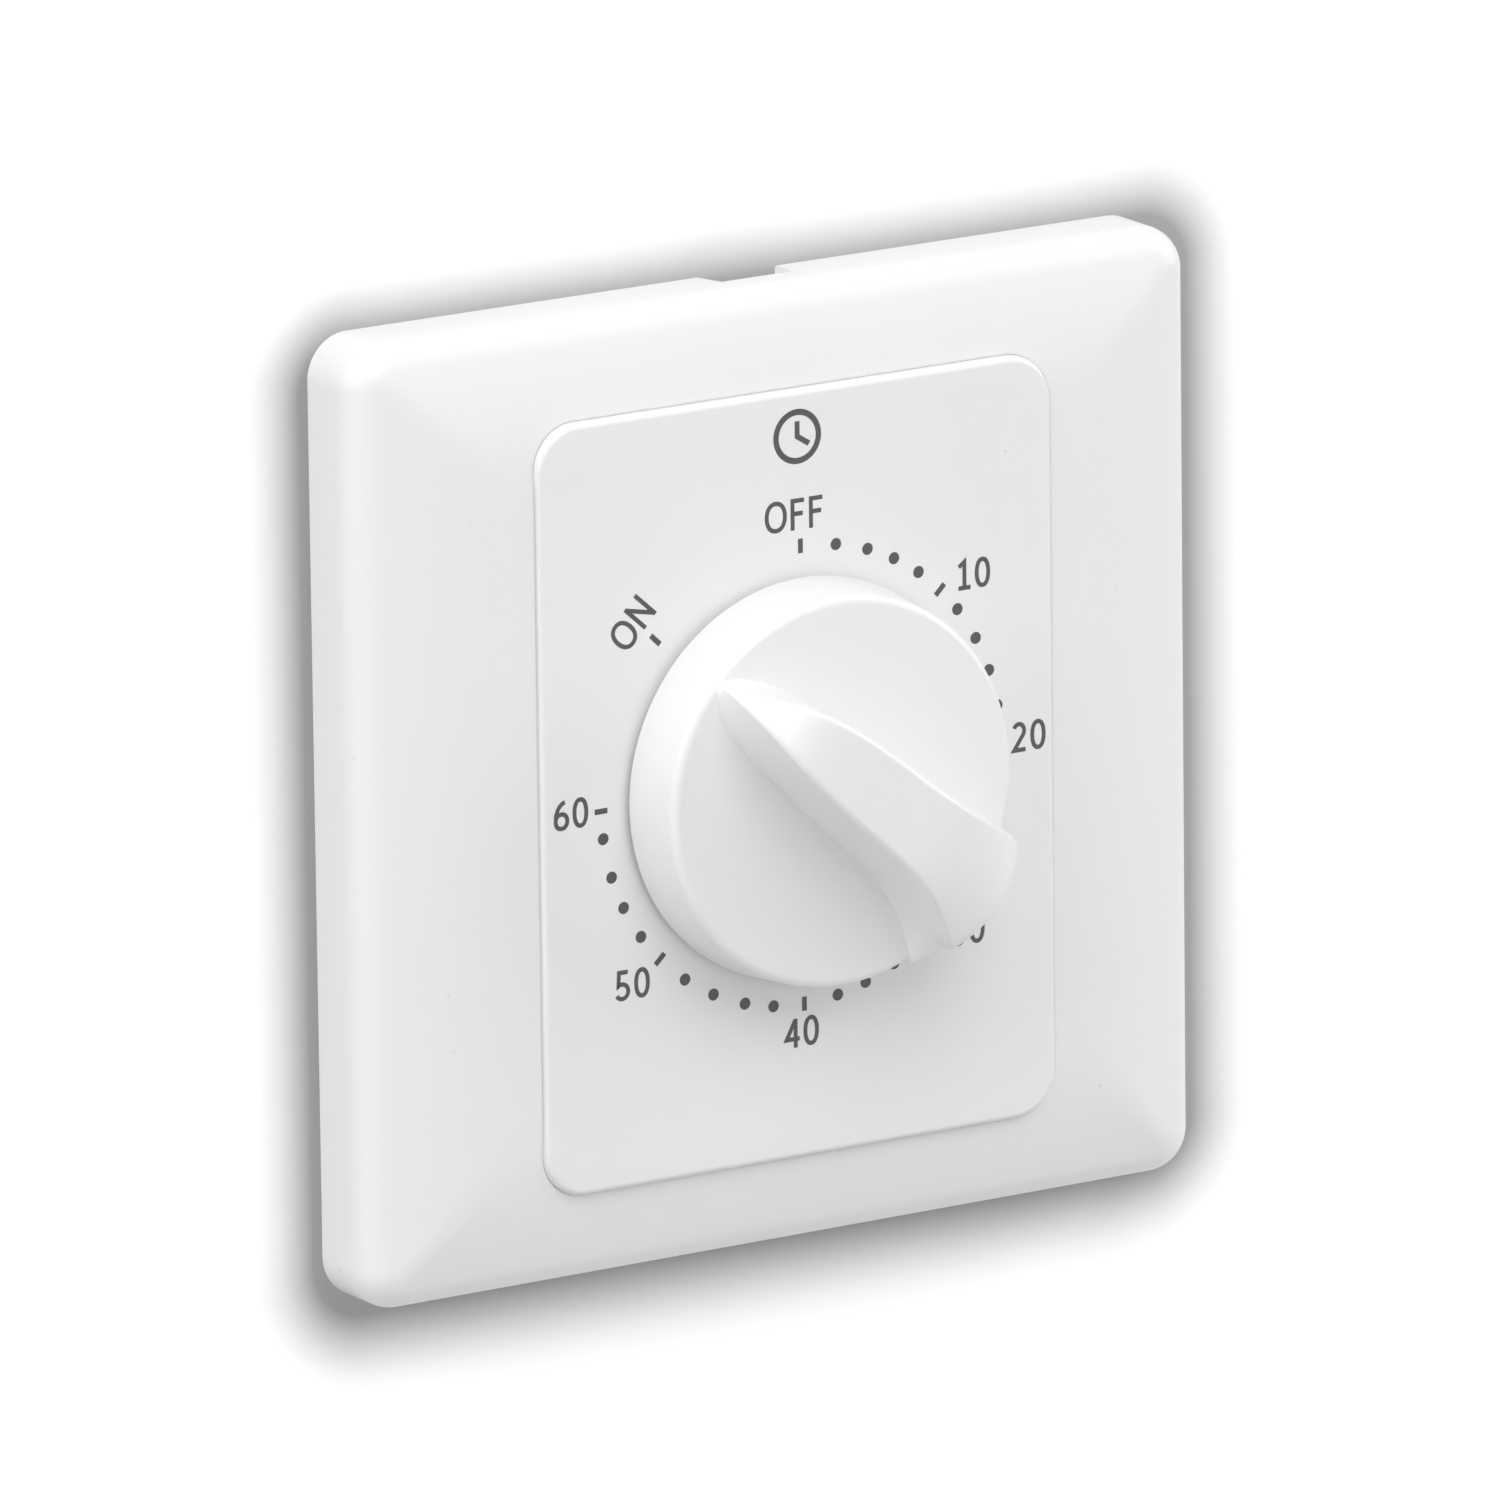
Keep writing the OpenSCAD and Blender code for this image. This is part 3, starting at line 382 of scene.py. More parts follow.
def frame_shape(sizes, panel):
    """The pillowed front frame as one closed skin.

    Across each side the profile is a straight wall, a quarter-like round of the edge radius, and a large arc
    of the pillow radius that meets the round on the slope and runs level at the crown. Four such profiles
    meet in hips: the height at a point is the profile at its smallest distance from a side, where a circle
    of the hip radius softens the change from one side to the next. Rings run in from the outline to the
    window, down the window's wall, and back under the face at the wall's thickness to the foot.
    """
    half = sizes.side / 2
    centre_in, centre_z = pillow_centre(sizes)
    foot_edge, window_edge, notch_end = 0.25 * MM, 0.3 * MM, 0.06 * MM
    widen, widen_from, ring_end = 0.2, 5 * MM, 8 * MM
    inner_edge = sizes.edge - sizes.wall
    notch_x = sizes.notch_shift + np.array([-0.5, -0.5, 0.5, 0.5]) * sizes.notch_width
    notch_x += np.array([-sizes.notch_ramp, 0, 0, notch_end])
    lines = ring_lines(100, 20, -notch_x / (half - sizes.corner))

    def bend_at(inset):
        """Radius of a ring's corners: it falls to the hip's radius and grows again towards the crown."""
        return np.maximum(sizes.corner - inset, sizes.hip) + widen * np.maximum(0, inset - widen_from)

    def ring(inset):
        """The outline drawn in by an inset."""
        return rounded(lines, half - inset, half - inset, bend_at(inset))

    def inset_at(plan):
        """The inset of the ring through each point, closed in on step by step."""
        dx, dy = half - np.abs(plan[..., 0]), half - np.abs(plan[..., 1])
        apart = np.abs(dx - dy)
        inset = np.minimum(dx, dy)
        for _ in range(8):
            soft = bend_at(inset)
            arc_part = np.sqrt(np.maximum(2 * soft ** 2 - apart ** 2, 0))
            inset = np.where(apart < soft, (dx + dy - 2 * soft + arc_part) / 2, np.minimum(dx, dy))
        return inset

    def face_z(inset, under):
        """Height of the face at an inset, or of the surface that far under it."""
        fall = centre_in - np.minimum(inset, centre_in)
        return centre_z + np.sqrt((sizes.pillow - under) ** 2 - fall ** 2)

    def window(grow):
        """The window's outline, grown all round."""
        grow = panel.gap + grow
        return rounded(lines, panel.width / 2 + grow, panel.height / 2 + grow, panel.corner + grow)

    def edge_rings(turn, radius):
        """Rings on the round between wall and face."""
        height = sizes.side_height + radius * np.cos(turn)
        return raised(ring(sizes.edge - radius * np.sin(turn)), height[:, None])

    def face_rings(first, last, steps, under=0.0):
        """Rings on the face after the first inset, up to the last."""
        inset = np.linspace(first, last, steps)[1:]
        return raised(ring(inset), face_z(inset, under)[:, None])

    def on_face(plan, under=0.0):
        """Points of the plan at the height of the face."""
        return raised(plan, face_z(inset_at(plan), under))

    def between(shares, grow):
        """Rings that change from the last one of the face into the window."""
        share = shares[1:, None, None]
        return ring(ring_end) * (1 - share) + window(grow) * share

    outline = ring(0.0)
    on_top = lines[3] > 0.999
    notch = np.interp(outline[0, :, 0], notch_x, [0, 1, 1, 0]) * on_top * sizes.notch_height
    foot = notch + foot_edge
    climb = np.linspace(0, 1, 5)[:, None]
    bend = np.linspace(0, QUARTER, 6)[1:]
    lip = on_face(window(window_edge * (1 - np.sin(bend))))
    lip[..., 2] -= window_edge * (1 - np.cos(bend))[:, None]
    return woven(np.concatenate([
        raised(ring(foot_edge), notch),
        raised(np.repeat(outline, len(climb), axis=0), foot + (sizes.side_height - foot) * climb),
        edge_rings(np.linspace(QUARTER, sizes.slope, 17)[1:], sizes.edge),
        face_rings(sizes.edge * (1 - math.sin(sizes.slope)), ring_end, 15),
        on_face(between(np.linspace(0, 1, 29), window_edge)),
        lip,
        on_face(window(0.0), sizes.wall),
        on_face(between(np.linspace(1, 0, 7), 0.0), sizes.wall),
        face_rings(ring_end, sizes.edge - inner_edge * math.sin(sizes.slope), 7, sizes.wall),
        edge_rings(np.linspace(sizes.slope, QUARTER, 7)[1:], inner_edge),
        raised(ring(sizes.wall), notch),
    ]))


def hook_parts(sizes):
    """Four catch hooks inside the top and bottom walls: a wedge profile carried along the side."""
    inner, aside = sizes.side / 2 - sizes.wall, 24 * MM
    profile = np.array([[0.6, 0.3], [-0.5, 0.3], [-0.9, 0.6], [-0.9, 1.1], [0.6, 1.1]]) * MM
    across = np.array([-4.5, -4.3, 4.3, 4.5])[:, None] * MM
    parts = []
    for middle in (-aside, aside):
        for way in (1, -1):
            places = (middle + across, way * (inner + profile[:, 0]), profile[:, 1])
            bar = np.stack(np.broadcast_arrays(*places), axis=-1)
            parts += [woven(bar, False), cap(bar[0]), cap(bar[-1])]
    return parts


def panel_shape(panel, face, hole):
    """The dial panel's skin: a rounded rectangle's wall that closes the gap to the window a little below the
    frame's face, a quarter round at its front edge, a level face in to a circle under the knob, and back
    inside the panel at a small depth."""
    lines = ring_lines(30, 14)
    skin, depth, wall, groove = 0.02 * MM, 0.2 * MM, 3 * MM, 0.3 * MM
    top = face + skin

    def ring(inset):
        """The panel's outline drawn in by an inset."""
        reach = skin - inset
        return rounded(lines, panel.width / 2 + reach, panel.height / 2 + reach, panel.corner + reach)

    bend = np.linspace(0, QUARTER, 9)
    edge = ring(panel.edge)
    heading = np.arctan2(edge[..., 1], edge[..., 0])
    circle = hole * np.stack([np.cos(heading), np.sin(heading)], axis=-1)
    share = np.linspace(0, 1, 11)[1:, None, None]
    return woven(np.concatenate([
        raised(ring(-panel.gap), top - wall),
        raised(ring(-panel.gap), top - panel.proud - groove),
        raised(ring(panel.edge * (1 - np.cos(bend))), (top - panel.edge * (1 - np.sin(bend)))[:, None]),
        raised(edge * (1 - share) + circle * share, top),
        raised(circle, top - depth),
        raised(edge, top - depth),
        raised(ring(depth), top - panel.edge),
        raised(ring(depth), top - wall),
    ]))


def turned_shape(profile, steps):
    """A profile of (radius, height) points turned once round the axis out of the wall."""
    spin = np.linspace(0, 2 * np.pi, steps, endpoint=False)
    radius, height = profile[:, :1], profile[:, 1:]
    places = np.broadcast_arrays(radius * np.cos(spin), radius * np.sin(spin), height)
    return woven(np.stack(places, axis=-1), False)


def knob_body_shape(knob, face):
    """The knob's hollow body: a boss in the middle, a skirt that draws in a little to a rounded rim, and a
    low dome that falls off with the square of the distance from the axis."""
    foot, disc = face + knob.gap, face + knob.skirt
    outer = knob.diameter / 2
    level = outer - knob.taper - knob.edge
    inner, ceiling = outer - knob.wall, disc - knob.wall
    boss, lip = 5.2 * MM, 0.25 * MM
    under = np.array([[0, foot + knob.gap], [boss, foot + knob.gap], [boss, ceiling],
                      [inner, ceiling], [inner, foot], [outer - lip, foot]])
    heel = arc(outer - lip, foot + lip, lip, lip, -90, 0, 5)[1:]
    edge = arc(level, disc - knob.edge, knob.edge, knob.edge, 0, 90, 12)
    reach = np.linspace(level, 0, 16)[1:]
    dome = np.stack([reach, disc + knob.dome * (1 - (reach / level) ** 2)], axis=-1)
    return turned_shape(np.concatenate([under, heel, edge, dome]), 200)


def grip_parts(knob, face):
    """The grip bar across the knob, from its blunt tip to the tail that spreads to the rim.

    Along the bar (s, in millimetres from the axis) the foot and ridge widths swell from the tip as
    1 - exp(-distance / reach). The foot widens evenly and past 6 mm flares with the square of the distance,
    most on its lower side. The height rises as 1 - exp(-distance / 2.2) and past 3 mm falls off by the
    power 1.9. Across the bar a flank runs from foot to ridge on a parabola, then a round, then the ridge,
    whose crown is a parabola that grows with the square of the distance past 3 mm. The tail ends on the
    rim's circle with a round.
    """
    end = (knob.diameter - knob.taper) / 2 / MM
    tip_inset, nose, within, sunk = 0.85, 0.05, 0.02, 0.15
    tip = end - tip_inset
    foot_w, ridge_w, top = (v / MM for v in (knob.grip_foot, knob.grip_ridge, knob.grip_height))
    foot_swell, ridge_swell, rise_swell = (0.6, 3.6), (0.2, 5), (0.2, 2.2)
    foot_widen, foot_from, ridge_widen, ridge_most = 0.05, -6, 0.009, 5.4
    fall, fall_from, fall_power = 0.72, 3, 1.9
    flare_from, upper_flare, lower_flare = 6, 0.004, 0.031
    ridge_r, end_r, crown, crowding = 0.6, 0.8, 3.6, 0.45
    lean_from, lean_fade = 4, 13
    flank = np.linspace(0, 1, 15)
    bend = np.linspace(0, QUARTER, 8)[1:]
    flat = np.linspace(1, 0, 10)[1:]
    first, last = flank.size, flank.size + bend.size
    side, curve, crest = slice(first), slice(first, last), slice(last, None)

    def swell(s, lead, reach):
        """Growth from nothing at the tip towards 1."""
        return 1 - np.exp(-(s + tip + lead) / reach)

    def section(s, flare):
        """Half width and height at every (s, column): s holds a distance for each grid point."""
        past = np.maximum(0, s - fall_from) / (end - fall_from)
        foot = foot_w * swell(s, *foot_swell) + foot_widen * np.maximum(0, s - foot_from)
        foot += flare * np.maximum(0, s - flare_from) ** 2
        ridge = ridge_w * swell(s, *ridge_swell) + ridge_widen * np.maximum(0, s) ** 2
        ridge = np.minimum(ridge, ridge_most)
        rise = top * swell(s, *rise_swell) * (1 - fall * past ** fall_power)
        soft = np.minimum(np.minimum(ridge_r, ridge / 2), rise / 3)
        tilt = np.arctan2(crown * past ** 2, ridge)
        wide, high = ridge - soft, rise - soft
        wide[:, side] = ridge[:, side] + (foot - ridge)[:, side] * (1 - flank) ** 2
        high[:, side] *= flank
        round_turn = bend * (1 - tilt[:, curve] / QUARTER)
        wide[:, curve] += soft[:, curve] * np.cos(round_turn)
        high[:, curve] += soft[:, curve] * np.sin(round_turn)
        soft, tilt = soft[:, crest], tilt[:, crest]
        brim = wide[:, crest] + soft * np.sin(tilt)
        wide[:, crest] = brim * flat
        high[:, crest] += soft * np.cos(tilt) + brim * np.tan(tilt) / 2 * (1 - flat ** 2)
        return wide, high

    even = np.linspace(0, 1, 64)[:, None]
    nominal = -tip + (end + tip) * ((1 - crowding) * even + crowding * even ** 2)
    turn = np.linspace(0, QUARTER, 8)[1:, None]

    def half(flare):
        """One half of the bar, from its foot to the middle of the ridge, with the tail's end rounded over."""
        s = np.repeat(nominal, last + flat.size, axis=1)
        for _ in range(6):
            limit = np.sqrt(np.maximum(end ** 2 - section(s, flare)[0] ** 2, 0))
            bent = flare_from + (nominal - flare_from) * (limit - flare_from) / (end - flare_from)
            s = np.where(nominal > flare_from, bent, nominal)
        wide, high = section(s, flare)
        back = np.minimum(end_r, high[-1] / 2)
        shrink = (end - back * (1 - np.sin(turn))) / end
        end_s, end_w = s[-1] * shrink, wide[-1] * shrink
        end_h = section(end_s, flare)[1] - back * (1 - np.cos(turn))
        end_s = end_s * (1 - within / end)
        s = np.concatenate([s[:1] - nose, s[:-2], end_s, end_s[-1:], end_s[-1:]])
        wide = np.concatenate([wide[:1] * 0, wide[:-2], end_w, end_w[-1:], end_w[-1:]])
        high = np.concatenate([high[:1] * 0, high[:-2], end_h, end_h[-1:] / 2, end_h[-1:] * 0])
        return np.stack([s, wide, high], axis=-1)

    lower = half(lower_flare)[:, -2::-1] * [1, -1, 1]
    points = np.concatenate([half(upper_flare), lower], axis=1)
    fade = np.clip((points[..., 0] - lean_from) / lean_fade, 0, 1)
    points[..., 2] -= sunk * (points[..., 2] < 1e-6)
    points *= MM
    points[..., 1] += knob.lean * (1 - fade ** 2)
    points[..., 2] += face + knob.skirt
    points[..., :2] = points[..., :2] @ turned_by(knob.pointer - QUARTER)
    return [woven(points, False), cap(points[-1])]


def unit(lines):
    """Each line with its length made 1."""
    return lines / np.linalg.norm(lines, axis=1)[:, None]


def ribbon(path, width, low, high, closed=False):
    """A flat band carried along a path on the panel: every point goes half the width to either side along the
    mean normal of the two lines that meet there, stretched so that the band keeps its width in a bend."""
    path = np.asarray(path, float)
    ahead, behind = np.roll(path, -1, axis=0) - path, path - np.roll(path, 1, axis=0)
    if not closed:
        ahead[-1], behind[0] = behind[-1], ahead[0]
    ahead, behind = unit(ahead), unit(behind)
    mean, sharpest = unit(ahead + behind), 0.45
    stretch = 1 / np.maximum((mean * ahead).sum(axis=1), sharpest)
    side = np.stack([-mean[:, 1], mean[:, 0]], axis=-1) * (stretch * width / 2)[:, None]
    corners = ((side, low), (side, high), (-side, high), (-side, low))
    faces = grid_faces(len(corners), len(path), True, closed)
    if not closed:
        start = np.arange(len(corners)) * len(path)
        faces = np.concatenate([faces, [start, (start + len(path) - 1)[[0, 3, 2, 1]]]])
    return np.stack([raised(path + way, height) for way, height in corners]), faces


def oval(cx, cy, rx, ry):
    """A closed line round an ellipse, a little squared by the power 0.9."""
    turn = np.linspace(0, 2 * np.pi, 40, endpoint=False)
    c, s = (np.sign(v) * np.abs(v) ** 0.9 for v in (np.cos(turn), np.sin(turn)))
    return np.stack([cx + rx * c, cy + ry * s], axis=-1), True


def stroke(*runs):
    """An open line through single points and runs of points."""
    return np.concatenate([np.reshape(run, (-1, 2)) for run in runs]), False


# Width of each figure and letter of height 1, and its centre lines
SIGNS = {
    "0": (0.58, oval(0.29, 0.5, 0.22, 0.43)),
    "1": (0.58, stroke([0.10, 0.77], [0.31, 0.93], [0.31, 0.0]), stroke([0.08, 0.07], [0.54, 0.07])),
    "2": (0.58, stroke(arc(0.27, 0.70, 0.20, 0.23, 155, -35), [0.08, 0.07], [0.52, 0.07])),
    "3": (0.58, stroke(arc(0.25, 0.72, 0.19, 0.21, 150, -75), arc(0.25, 0.285, 0.22, 0.225, 75, -150))),
    "4": (0.58, stroke([0.41, 0.0], [0.41, 0.96]), stroke([0.40, 0.92], [0.06, 0.29], [0.56, 0.29])),
    "5": (0.58, stroke([0.47, 0.93], [0.14, 0.93], arc(0.25, 0.30, 0.23, 0.24, 125, -150))),
    "6": (0.58, oval(0.29, 0.30, 0.215, 0.235), stroke(arc(0.50, 0.32, 0.43, 0.61, 100, 172))),
    "O": (0.80, oval(0.40, 0.5, 0.33, 0.43)),
    "F": (0.54, stroke([0.08, 0.0], [0.08, 1.0]), stroke([0.08, 0.93], [0.50, 0.93]),
          stroke([0.08, 0.52], [0.45, 0.52])),
    "N": (0.70, stroke([0.08, 0.0], [0.08, 1.0]), stroke([0.08, 0.95], [0.62, 0.05]),
          stroke([0.62, 0.0], [0.62, 1.0])),
}


def word_parts(word, size, spot, turn, width, low, high):
    """The signs of a word side by side, scaled to a height, turned, and set about a spot on the panel."""
    gap, layer_step = 0.13, 0.004 * MM
    pen = -(sum(SIGNS[sign][0] for sign in word) + gap * (len(word) - 1)) / 2
    parts = []
    for sign in word:
        wide, *lines = SIGNS[sign]
        for layer, (path, closed) in enumerate(lines):
            placed = ((path + [pen, -0.5]) * size) @ turned_by(turn) + np.array(spot) * MM
            parts.append(ribbon(placed, width, low, high + layer_step * layer, closed))
        pen += wide + gap
    return parts


def on_ring(radius, degrees):
    """A point on the dial, by its angle clockwise from the top."""
    a = math.radians(degrees)
    return np.array([radius * math.sin(a), radius * math.cos(a)])


def mark_parts(sizes, low, high):
    """The dots, each a small turned disc, and the ticks, each a short band that points to the axis."""
    reach, half, tick_width = sizes.dot / 2, sizes.tick / 2, 0.5 * MM
    points, faces = turned_shape(np.array([[0, low], [reach, low], [reach, high], [0, high]]), 22)
    marks = [(points + [*on_ring(sizes.ring, value), 0], faces) for value in DOT_ANGLES]
    for value in TICK_ANGLES:
        ends = [on_ring(sizes.ring - half, value), on_ring(sizes.ring + half, value)]
        marks.append(ribbon(ends, tick_width, low, high))
    return [(points + [sizes.aside, 0, 0], faces) for points, faces in marks]


def sign_parts(sizes, low, high):
    """The clock sign: a ring and two hands."""
    centre, radius = np.array(SIGN_SPOT) * MM, sizes.sign / 2
    ring_width, hand_width = 0.55 * MM, 0.5 * MM
    ring = arc(0, 0, radius, radius, 0, 360, 65)[:-1] + centre
    hands = np.array([[0.55, -0.35], [0.0, 0.0], [0.0, 0.62]]) * radius + centre
    return [ribbon(ring, ring_width, low, high, True), ribbon(hands, hand_width, low, high)]


def add_node(tree, kind, inputs=(), **values):
    """A node with its properties set by name; a link or a plain value goes to each input that is given."""
    node = tree.nodes.new(kind)
    for name, value in values.items():
        setattr(node, name, value)
    for key, value in dict(inputs).items():
        if isinstance(value, bpy.types.NodeSocket):
            tree.links.new(value, node.inputs[key])
        else:
            node.inputs[key].default_value = value
    return node


def mix_colour(tree, blend, factor, first, second):
    """A mix of two colours."""
    inputs = {0: factor, 6: first, 7: second}
    return add_node(tree, "ShaderNodeMix", inputs, data_type="RGBA", blend_type=blend).outputs[2]


def maths(tree, operation, first, second):
    """The result of an operation on two values."""
    return add_node(tree, "ShaderNodeMath", {0: first, 1: second}, operation=operation).outputs[0]


def map_value(tree, value, low, high, to_low, to_high):
    """A value stretched from one range to another."""
    inputs = {"Value": value, "From Min": low, "From Max": high, "To Min": to_low, "To Max": to_high}
    return add_node(tree, "ShaderNodeMapRange", inputs).outputs["Result"]


def noise(tree, place, scale, detail):
    """Noise of a scale per metre at a place."""
    inputs = {"Vector": place, "Scale": scale, "Detail": detail}
    return add_node(tree, "ShaderNodeTexNoise", inputs).outputs["Fac"]


def new_group(name):
    """A shader node group for a surface with marks on it, what it is given, and the place on the object."""
    group = bpy.data.node_groups.new(name, "ShaderNodeTree")
    sockets = (("INPUT", "Color", ("Colour", "Mark colour")), ("INPUT", "Float", ("Marks", "Dull", "Bright")),
               ("OUTPUT", "Color", ("Colour",)), ("OUTPUT", "Float", ("Roughness", "Height")))
    for way, kind, labels in sockets:
        for label in labels:
            group.interface.new_socket(label, in_out=way, socket_type="NodeSocket" + kind)
    given = add_node(group, "NodeGroupInput").outputs
    return group, given, add_node(group, "ShaderNodeTexCoord").outputs["Object"]


def moulded_group(name):
    """Moulded plastic: faint clouding, gloss that varies a little, rare dust specks and a fine grain."""
    group, given, place = new_group(name)
    shade = map_value(group, noise(group, place, 70, 3), 0.1, 0.9, 0.985, 1.0)
    clouded = mix_colour(group, "MULTIPLY", 1.0, given["Colour"], shade)
    cell = add_node(group, "ShaderNodeTexVoronoi", {"Vector": place, "Scale": 190}, feature="F1")
    spot = map_value(group, cell.outputs["Distance"], 0.016, 0.036, 1.0, 0.0)
    patch = map_value(group, noise(group, place, 130, 1), 0.47, 0.55, 0.0, 1.0)
    specks = maths(group, "MULTIPLY", maths(group, "MULTIPLY", spot, patch), given["Marks"])
    gloss = noise(group, place, 45, 1)
    add_node(group, "NodeGroupOutput", {
        "Colour": mix_colour(group, "MIX", specks, clouded, given["Mark colour"]),
        "Roughness": map_value(group, gloss, 0.1, 0.9, given["Bright"], given["Dull"]),
        "Height": noise(group, place, 420, 1)})
    return group


def worked_group(name):
    """Worked metal: streaks along one way, blotches of tarnish and a brushed height."""
    group, given, place = new_group(name)
    stretch = add_node(group, "ShaderNodeMapping", {"Vector": place, "Scale": (0.12, 1.0, 1.0)})
    streak = noise(group, stretch.outputs["Vector"], 5200, 3)
    blotch = map_value(group, noise(group, place, 260, 5), 0.42, 0.72, 0.0, 1.0)
    tarnish = maths(group, "MULTIPLY", blotch, given["Marks"])
    aged = mix_colour(group, "MIX", tarnish, given["Colour"], given["Mark colour"])
    shade = map_value(group, streak, 0.3, 0.7, 0.86, 1.0)
    add_node(group, "NodeGroupOutput", {
        "Colour": mix_colour(group, "MULTIPLY", 1.0, aged, shade),
        "Roughness": map_value(group, streak, 0.3, 0.7, given["Bright"], given["Dull"]),
        "Height": streak})
    return group


# Name, maker and metallic value of each kind of finish
KINDS = {"moulded": ("Moulded surface", moulded_group, 0.0), "worked": ("Worked metal", worked_group, 1.0)}


def finish_of(scene, name):
    """The material of that name, built the first time it is asked for from its row in SURFACES: colour,
    roughness and bump come from a node group, and the shader's other values are set on the shader."""
    if name in bpy.data.materials:
        return bpy.data.materials[name]
    kind, tint, dull, bright, marks, bump, mark_colour = SURFACES[name]
    group_name, maker, metallic = KINDS[kind]
    group = bpy.data.node_groups.get(group_name) or maker(group_name)
    material = bpy.data.materials.new(name)
    material.use_nodes = True
    tree = material.node_tree
    values = {"Colour": (*getattr(scene.switch_finish, tint), 1), "Mark colour": (*mark_colour, 1),
              "Marks": marks, "Dull": dull, "Bright": bright}
    surface = add_node(tree, "ShaderNodeGroup", values, node_tree=group).outputs
    relief = {"Height": surface["Height"], "Strength": bump, "Distance": 0.02 * MM}
    shader = tree.nodes["Principled BSDF"].inputs
    shader["Metallic"].default_value = metallic
    shader["IOR"].default_value = 1.5
    tree.links.new(surface["Colour"], shader["Base Color"])
    tree.links.new(surface["Roughness"], shader["Roughness"])
    tree.links.new(add_node(tree, "ShaderNodeBump", relief).outputs["Normal"], shader["Normal"])
    return material


def softened_copy(node, name, finish, width):
    """A copy of a CAD node with its loose triangles merged, flat faces made whole and its edges rounded."""
    mesh = frame["nodes"][node].data.copy()
    mesh.name = name
    mend(mesh, weld=1e-6, crease=32, flat=0.6)
    dress(mesh, finish)
    piece = put(name, mesh)
    round_off = piece.modifiers.new("Soft edges", "BEVEL")
    round_off.width = width
    round_off.segments = 2
    round_off.limit_method = "ANGLE"
    round_off.angle_limit = math.radians(50)
    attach(piece, frame["nodes"][node]["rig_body"])
    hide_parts(node)


class SWITCH_OT_front_frame(bpy.types.Operator):
    """Build the pillowed front frame with its catch hooks"""

    bl_idname = "wall_switch.front_frame"
    bl_label = "Front Frame"

    def execute(self, context):
        scene = context.scene
        finish = finish_of(scene, "gloss_white_shell")
        shell = frame_shape(scene.switch_frame, scene.switch_panel)
        make_piece("frame_shell", [shell], finish, "housing", ("front_frame",))
        make_piece("frame_hooks", hook_parts(scene.switch_frame), finish, "housing", crease=25)
        return {"FINISHED"}


class SWITCH_OT_dial_panel(bpy.types.Operator):
    """Build the smooth skin of the dial panel and finish the base plate behind it"""

    bl_idname = "wall_switch.dial_panel"
    bl_label = "Dial Panel"

    def execute(self, context):
        scene = context.scene
        finish = finish_of(scene, "gloss_white_shell")
        under_knob, soft_edge = 1.4 * MM, 0.25 * MM
        hole = scene.switch_knob.diameter / 2 - under_knob
        skin = panel_shape(scene.switch_panel, panel_face(scene), hole)
        make_piece("dial_skin", [skin], finish, "housing")
        softened_copy("base_plate", "base_moulding", finish, soft_edge)
        return {"FINISHED"}


class SWITCH_OT_knob(bpy.types.Operator):
    """Build the dial knob: its turned body and the grip across it"""

    bl_idname = "wall_switch.knob"
    bl_label = "Dial Knob"

    def execute(self, context):
        scene = context.scene
        finish = finish_of(scene, "gloss_white_shell")
        knob, face = scene.switch_knob, panel_face(scene)
        make_piece("knob_body", [knob_body_shape(knob, face)], finish, "dial", ("knob",))
        make_piece("knob_grip", grip_parts(knob, face), finish, "dial", crease=40)
        return {"FINISHED"}


class SWITCH_OT_dial_print(bpy.types.Operator):
    """Print the minute figures, the dots, the ticks, the two switch words and a clock sign on the panel"""

    bl_idname = "wall_switch.dial_print"
    bl_label = "Dial Print"

    def execute(self, context):
        scene = context.scene
        sizes = scene.switch_print
        sunk, proud = 0.02 * MM, 0.035 * MM
        low, high = panel_face(scene) - sunk, panel_face(scene) + proud
        line = (sizes.stroke, low, high)
        figures = []
        for word, spot in FIGURE_SPOTS.items():
            figures += word_parts(word, sizes.figure, spot, 0.0, *line)
        words = word_parts("OFF", sizes.letter, OFF_SPOT, 0.0, *line)
        words += word_parts("ON", sizes.letter, ON_SPOT, math.radians(ON_TURN), *line)
        pieces = {"minute_figures": figures, "switch_words": words,
                  "minute_marks": mark_parts(sizes, low, high), "clock_sign": sign_parts(sizes, low, high)}
        for name, parts in pieces.items():
            make_piece(name, parts, finish_of(scene, "dial_ink"), "housing", crease=30)
        return {"FINISHED"}


class SWITCH_OT_rear_case(bpy.types.Operator):
    """Finish the rear cover, its screws, the terminals and their block"""

    bl_idname = "wall_switch.rear_case"
    bl_label = "Rear Case"

    def execute(self, context):
        cover, soft_edge = finish_of(context.scene, "satin_white_cover"), 0.4 * MM
        softened_copy("rear_cover", "cover_moulding", cover, soft_edge)
        for node, name in REAR_FINISHES.items():
            dress(frame["nodes"][node].data, finish_of(context.scene, name))
        return {"FINISHED"}


class SWITCH_OT_clockwork(bpy.types.Operator):
    """Finish the wheels, arbors, plates, spring, cam and contacts inside, each by its slot in the record"""

    bl_idname = "wall_switch.clockwork"
    bl_label = "Clockwork"

    def execute(self, context):
        for part in frame["record"]["subparts"]:
            name = SLOT_FINISHES.get(part["material_slot"])
            if name:
                dress(frame["nodes"][part["node"]].data, finish_of(context.scene, name))
        return {"FINISHED"}


def seen_rays(tree):
    """1 for rays that show the background: from the camera, in reflections and through clear pieces."""
    path = add_node(tree, "ShaderNodeLightPath").outputs
    seen = maths(tree, "MAXIMUM", path["Is Camera Ray"], path["Is Glossy Ray"])
    return maths(tree, "MAXIMUM", seen, path["Is Transmission Ray"])


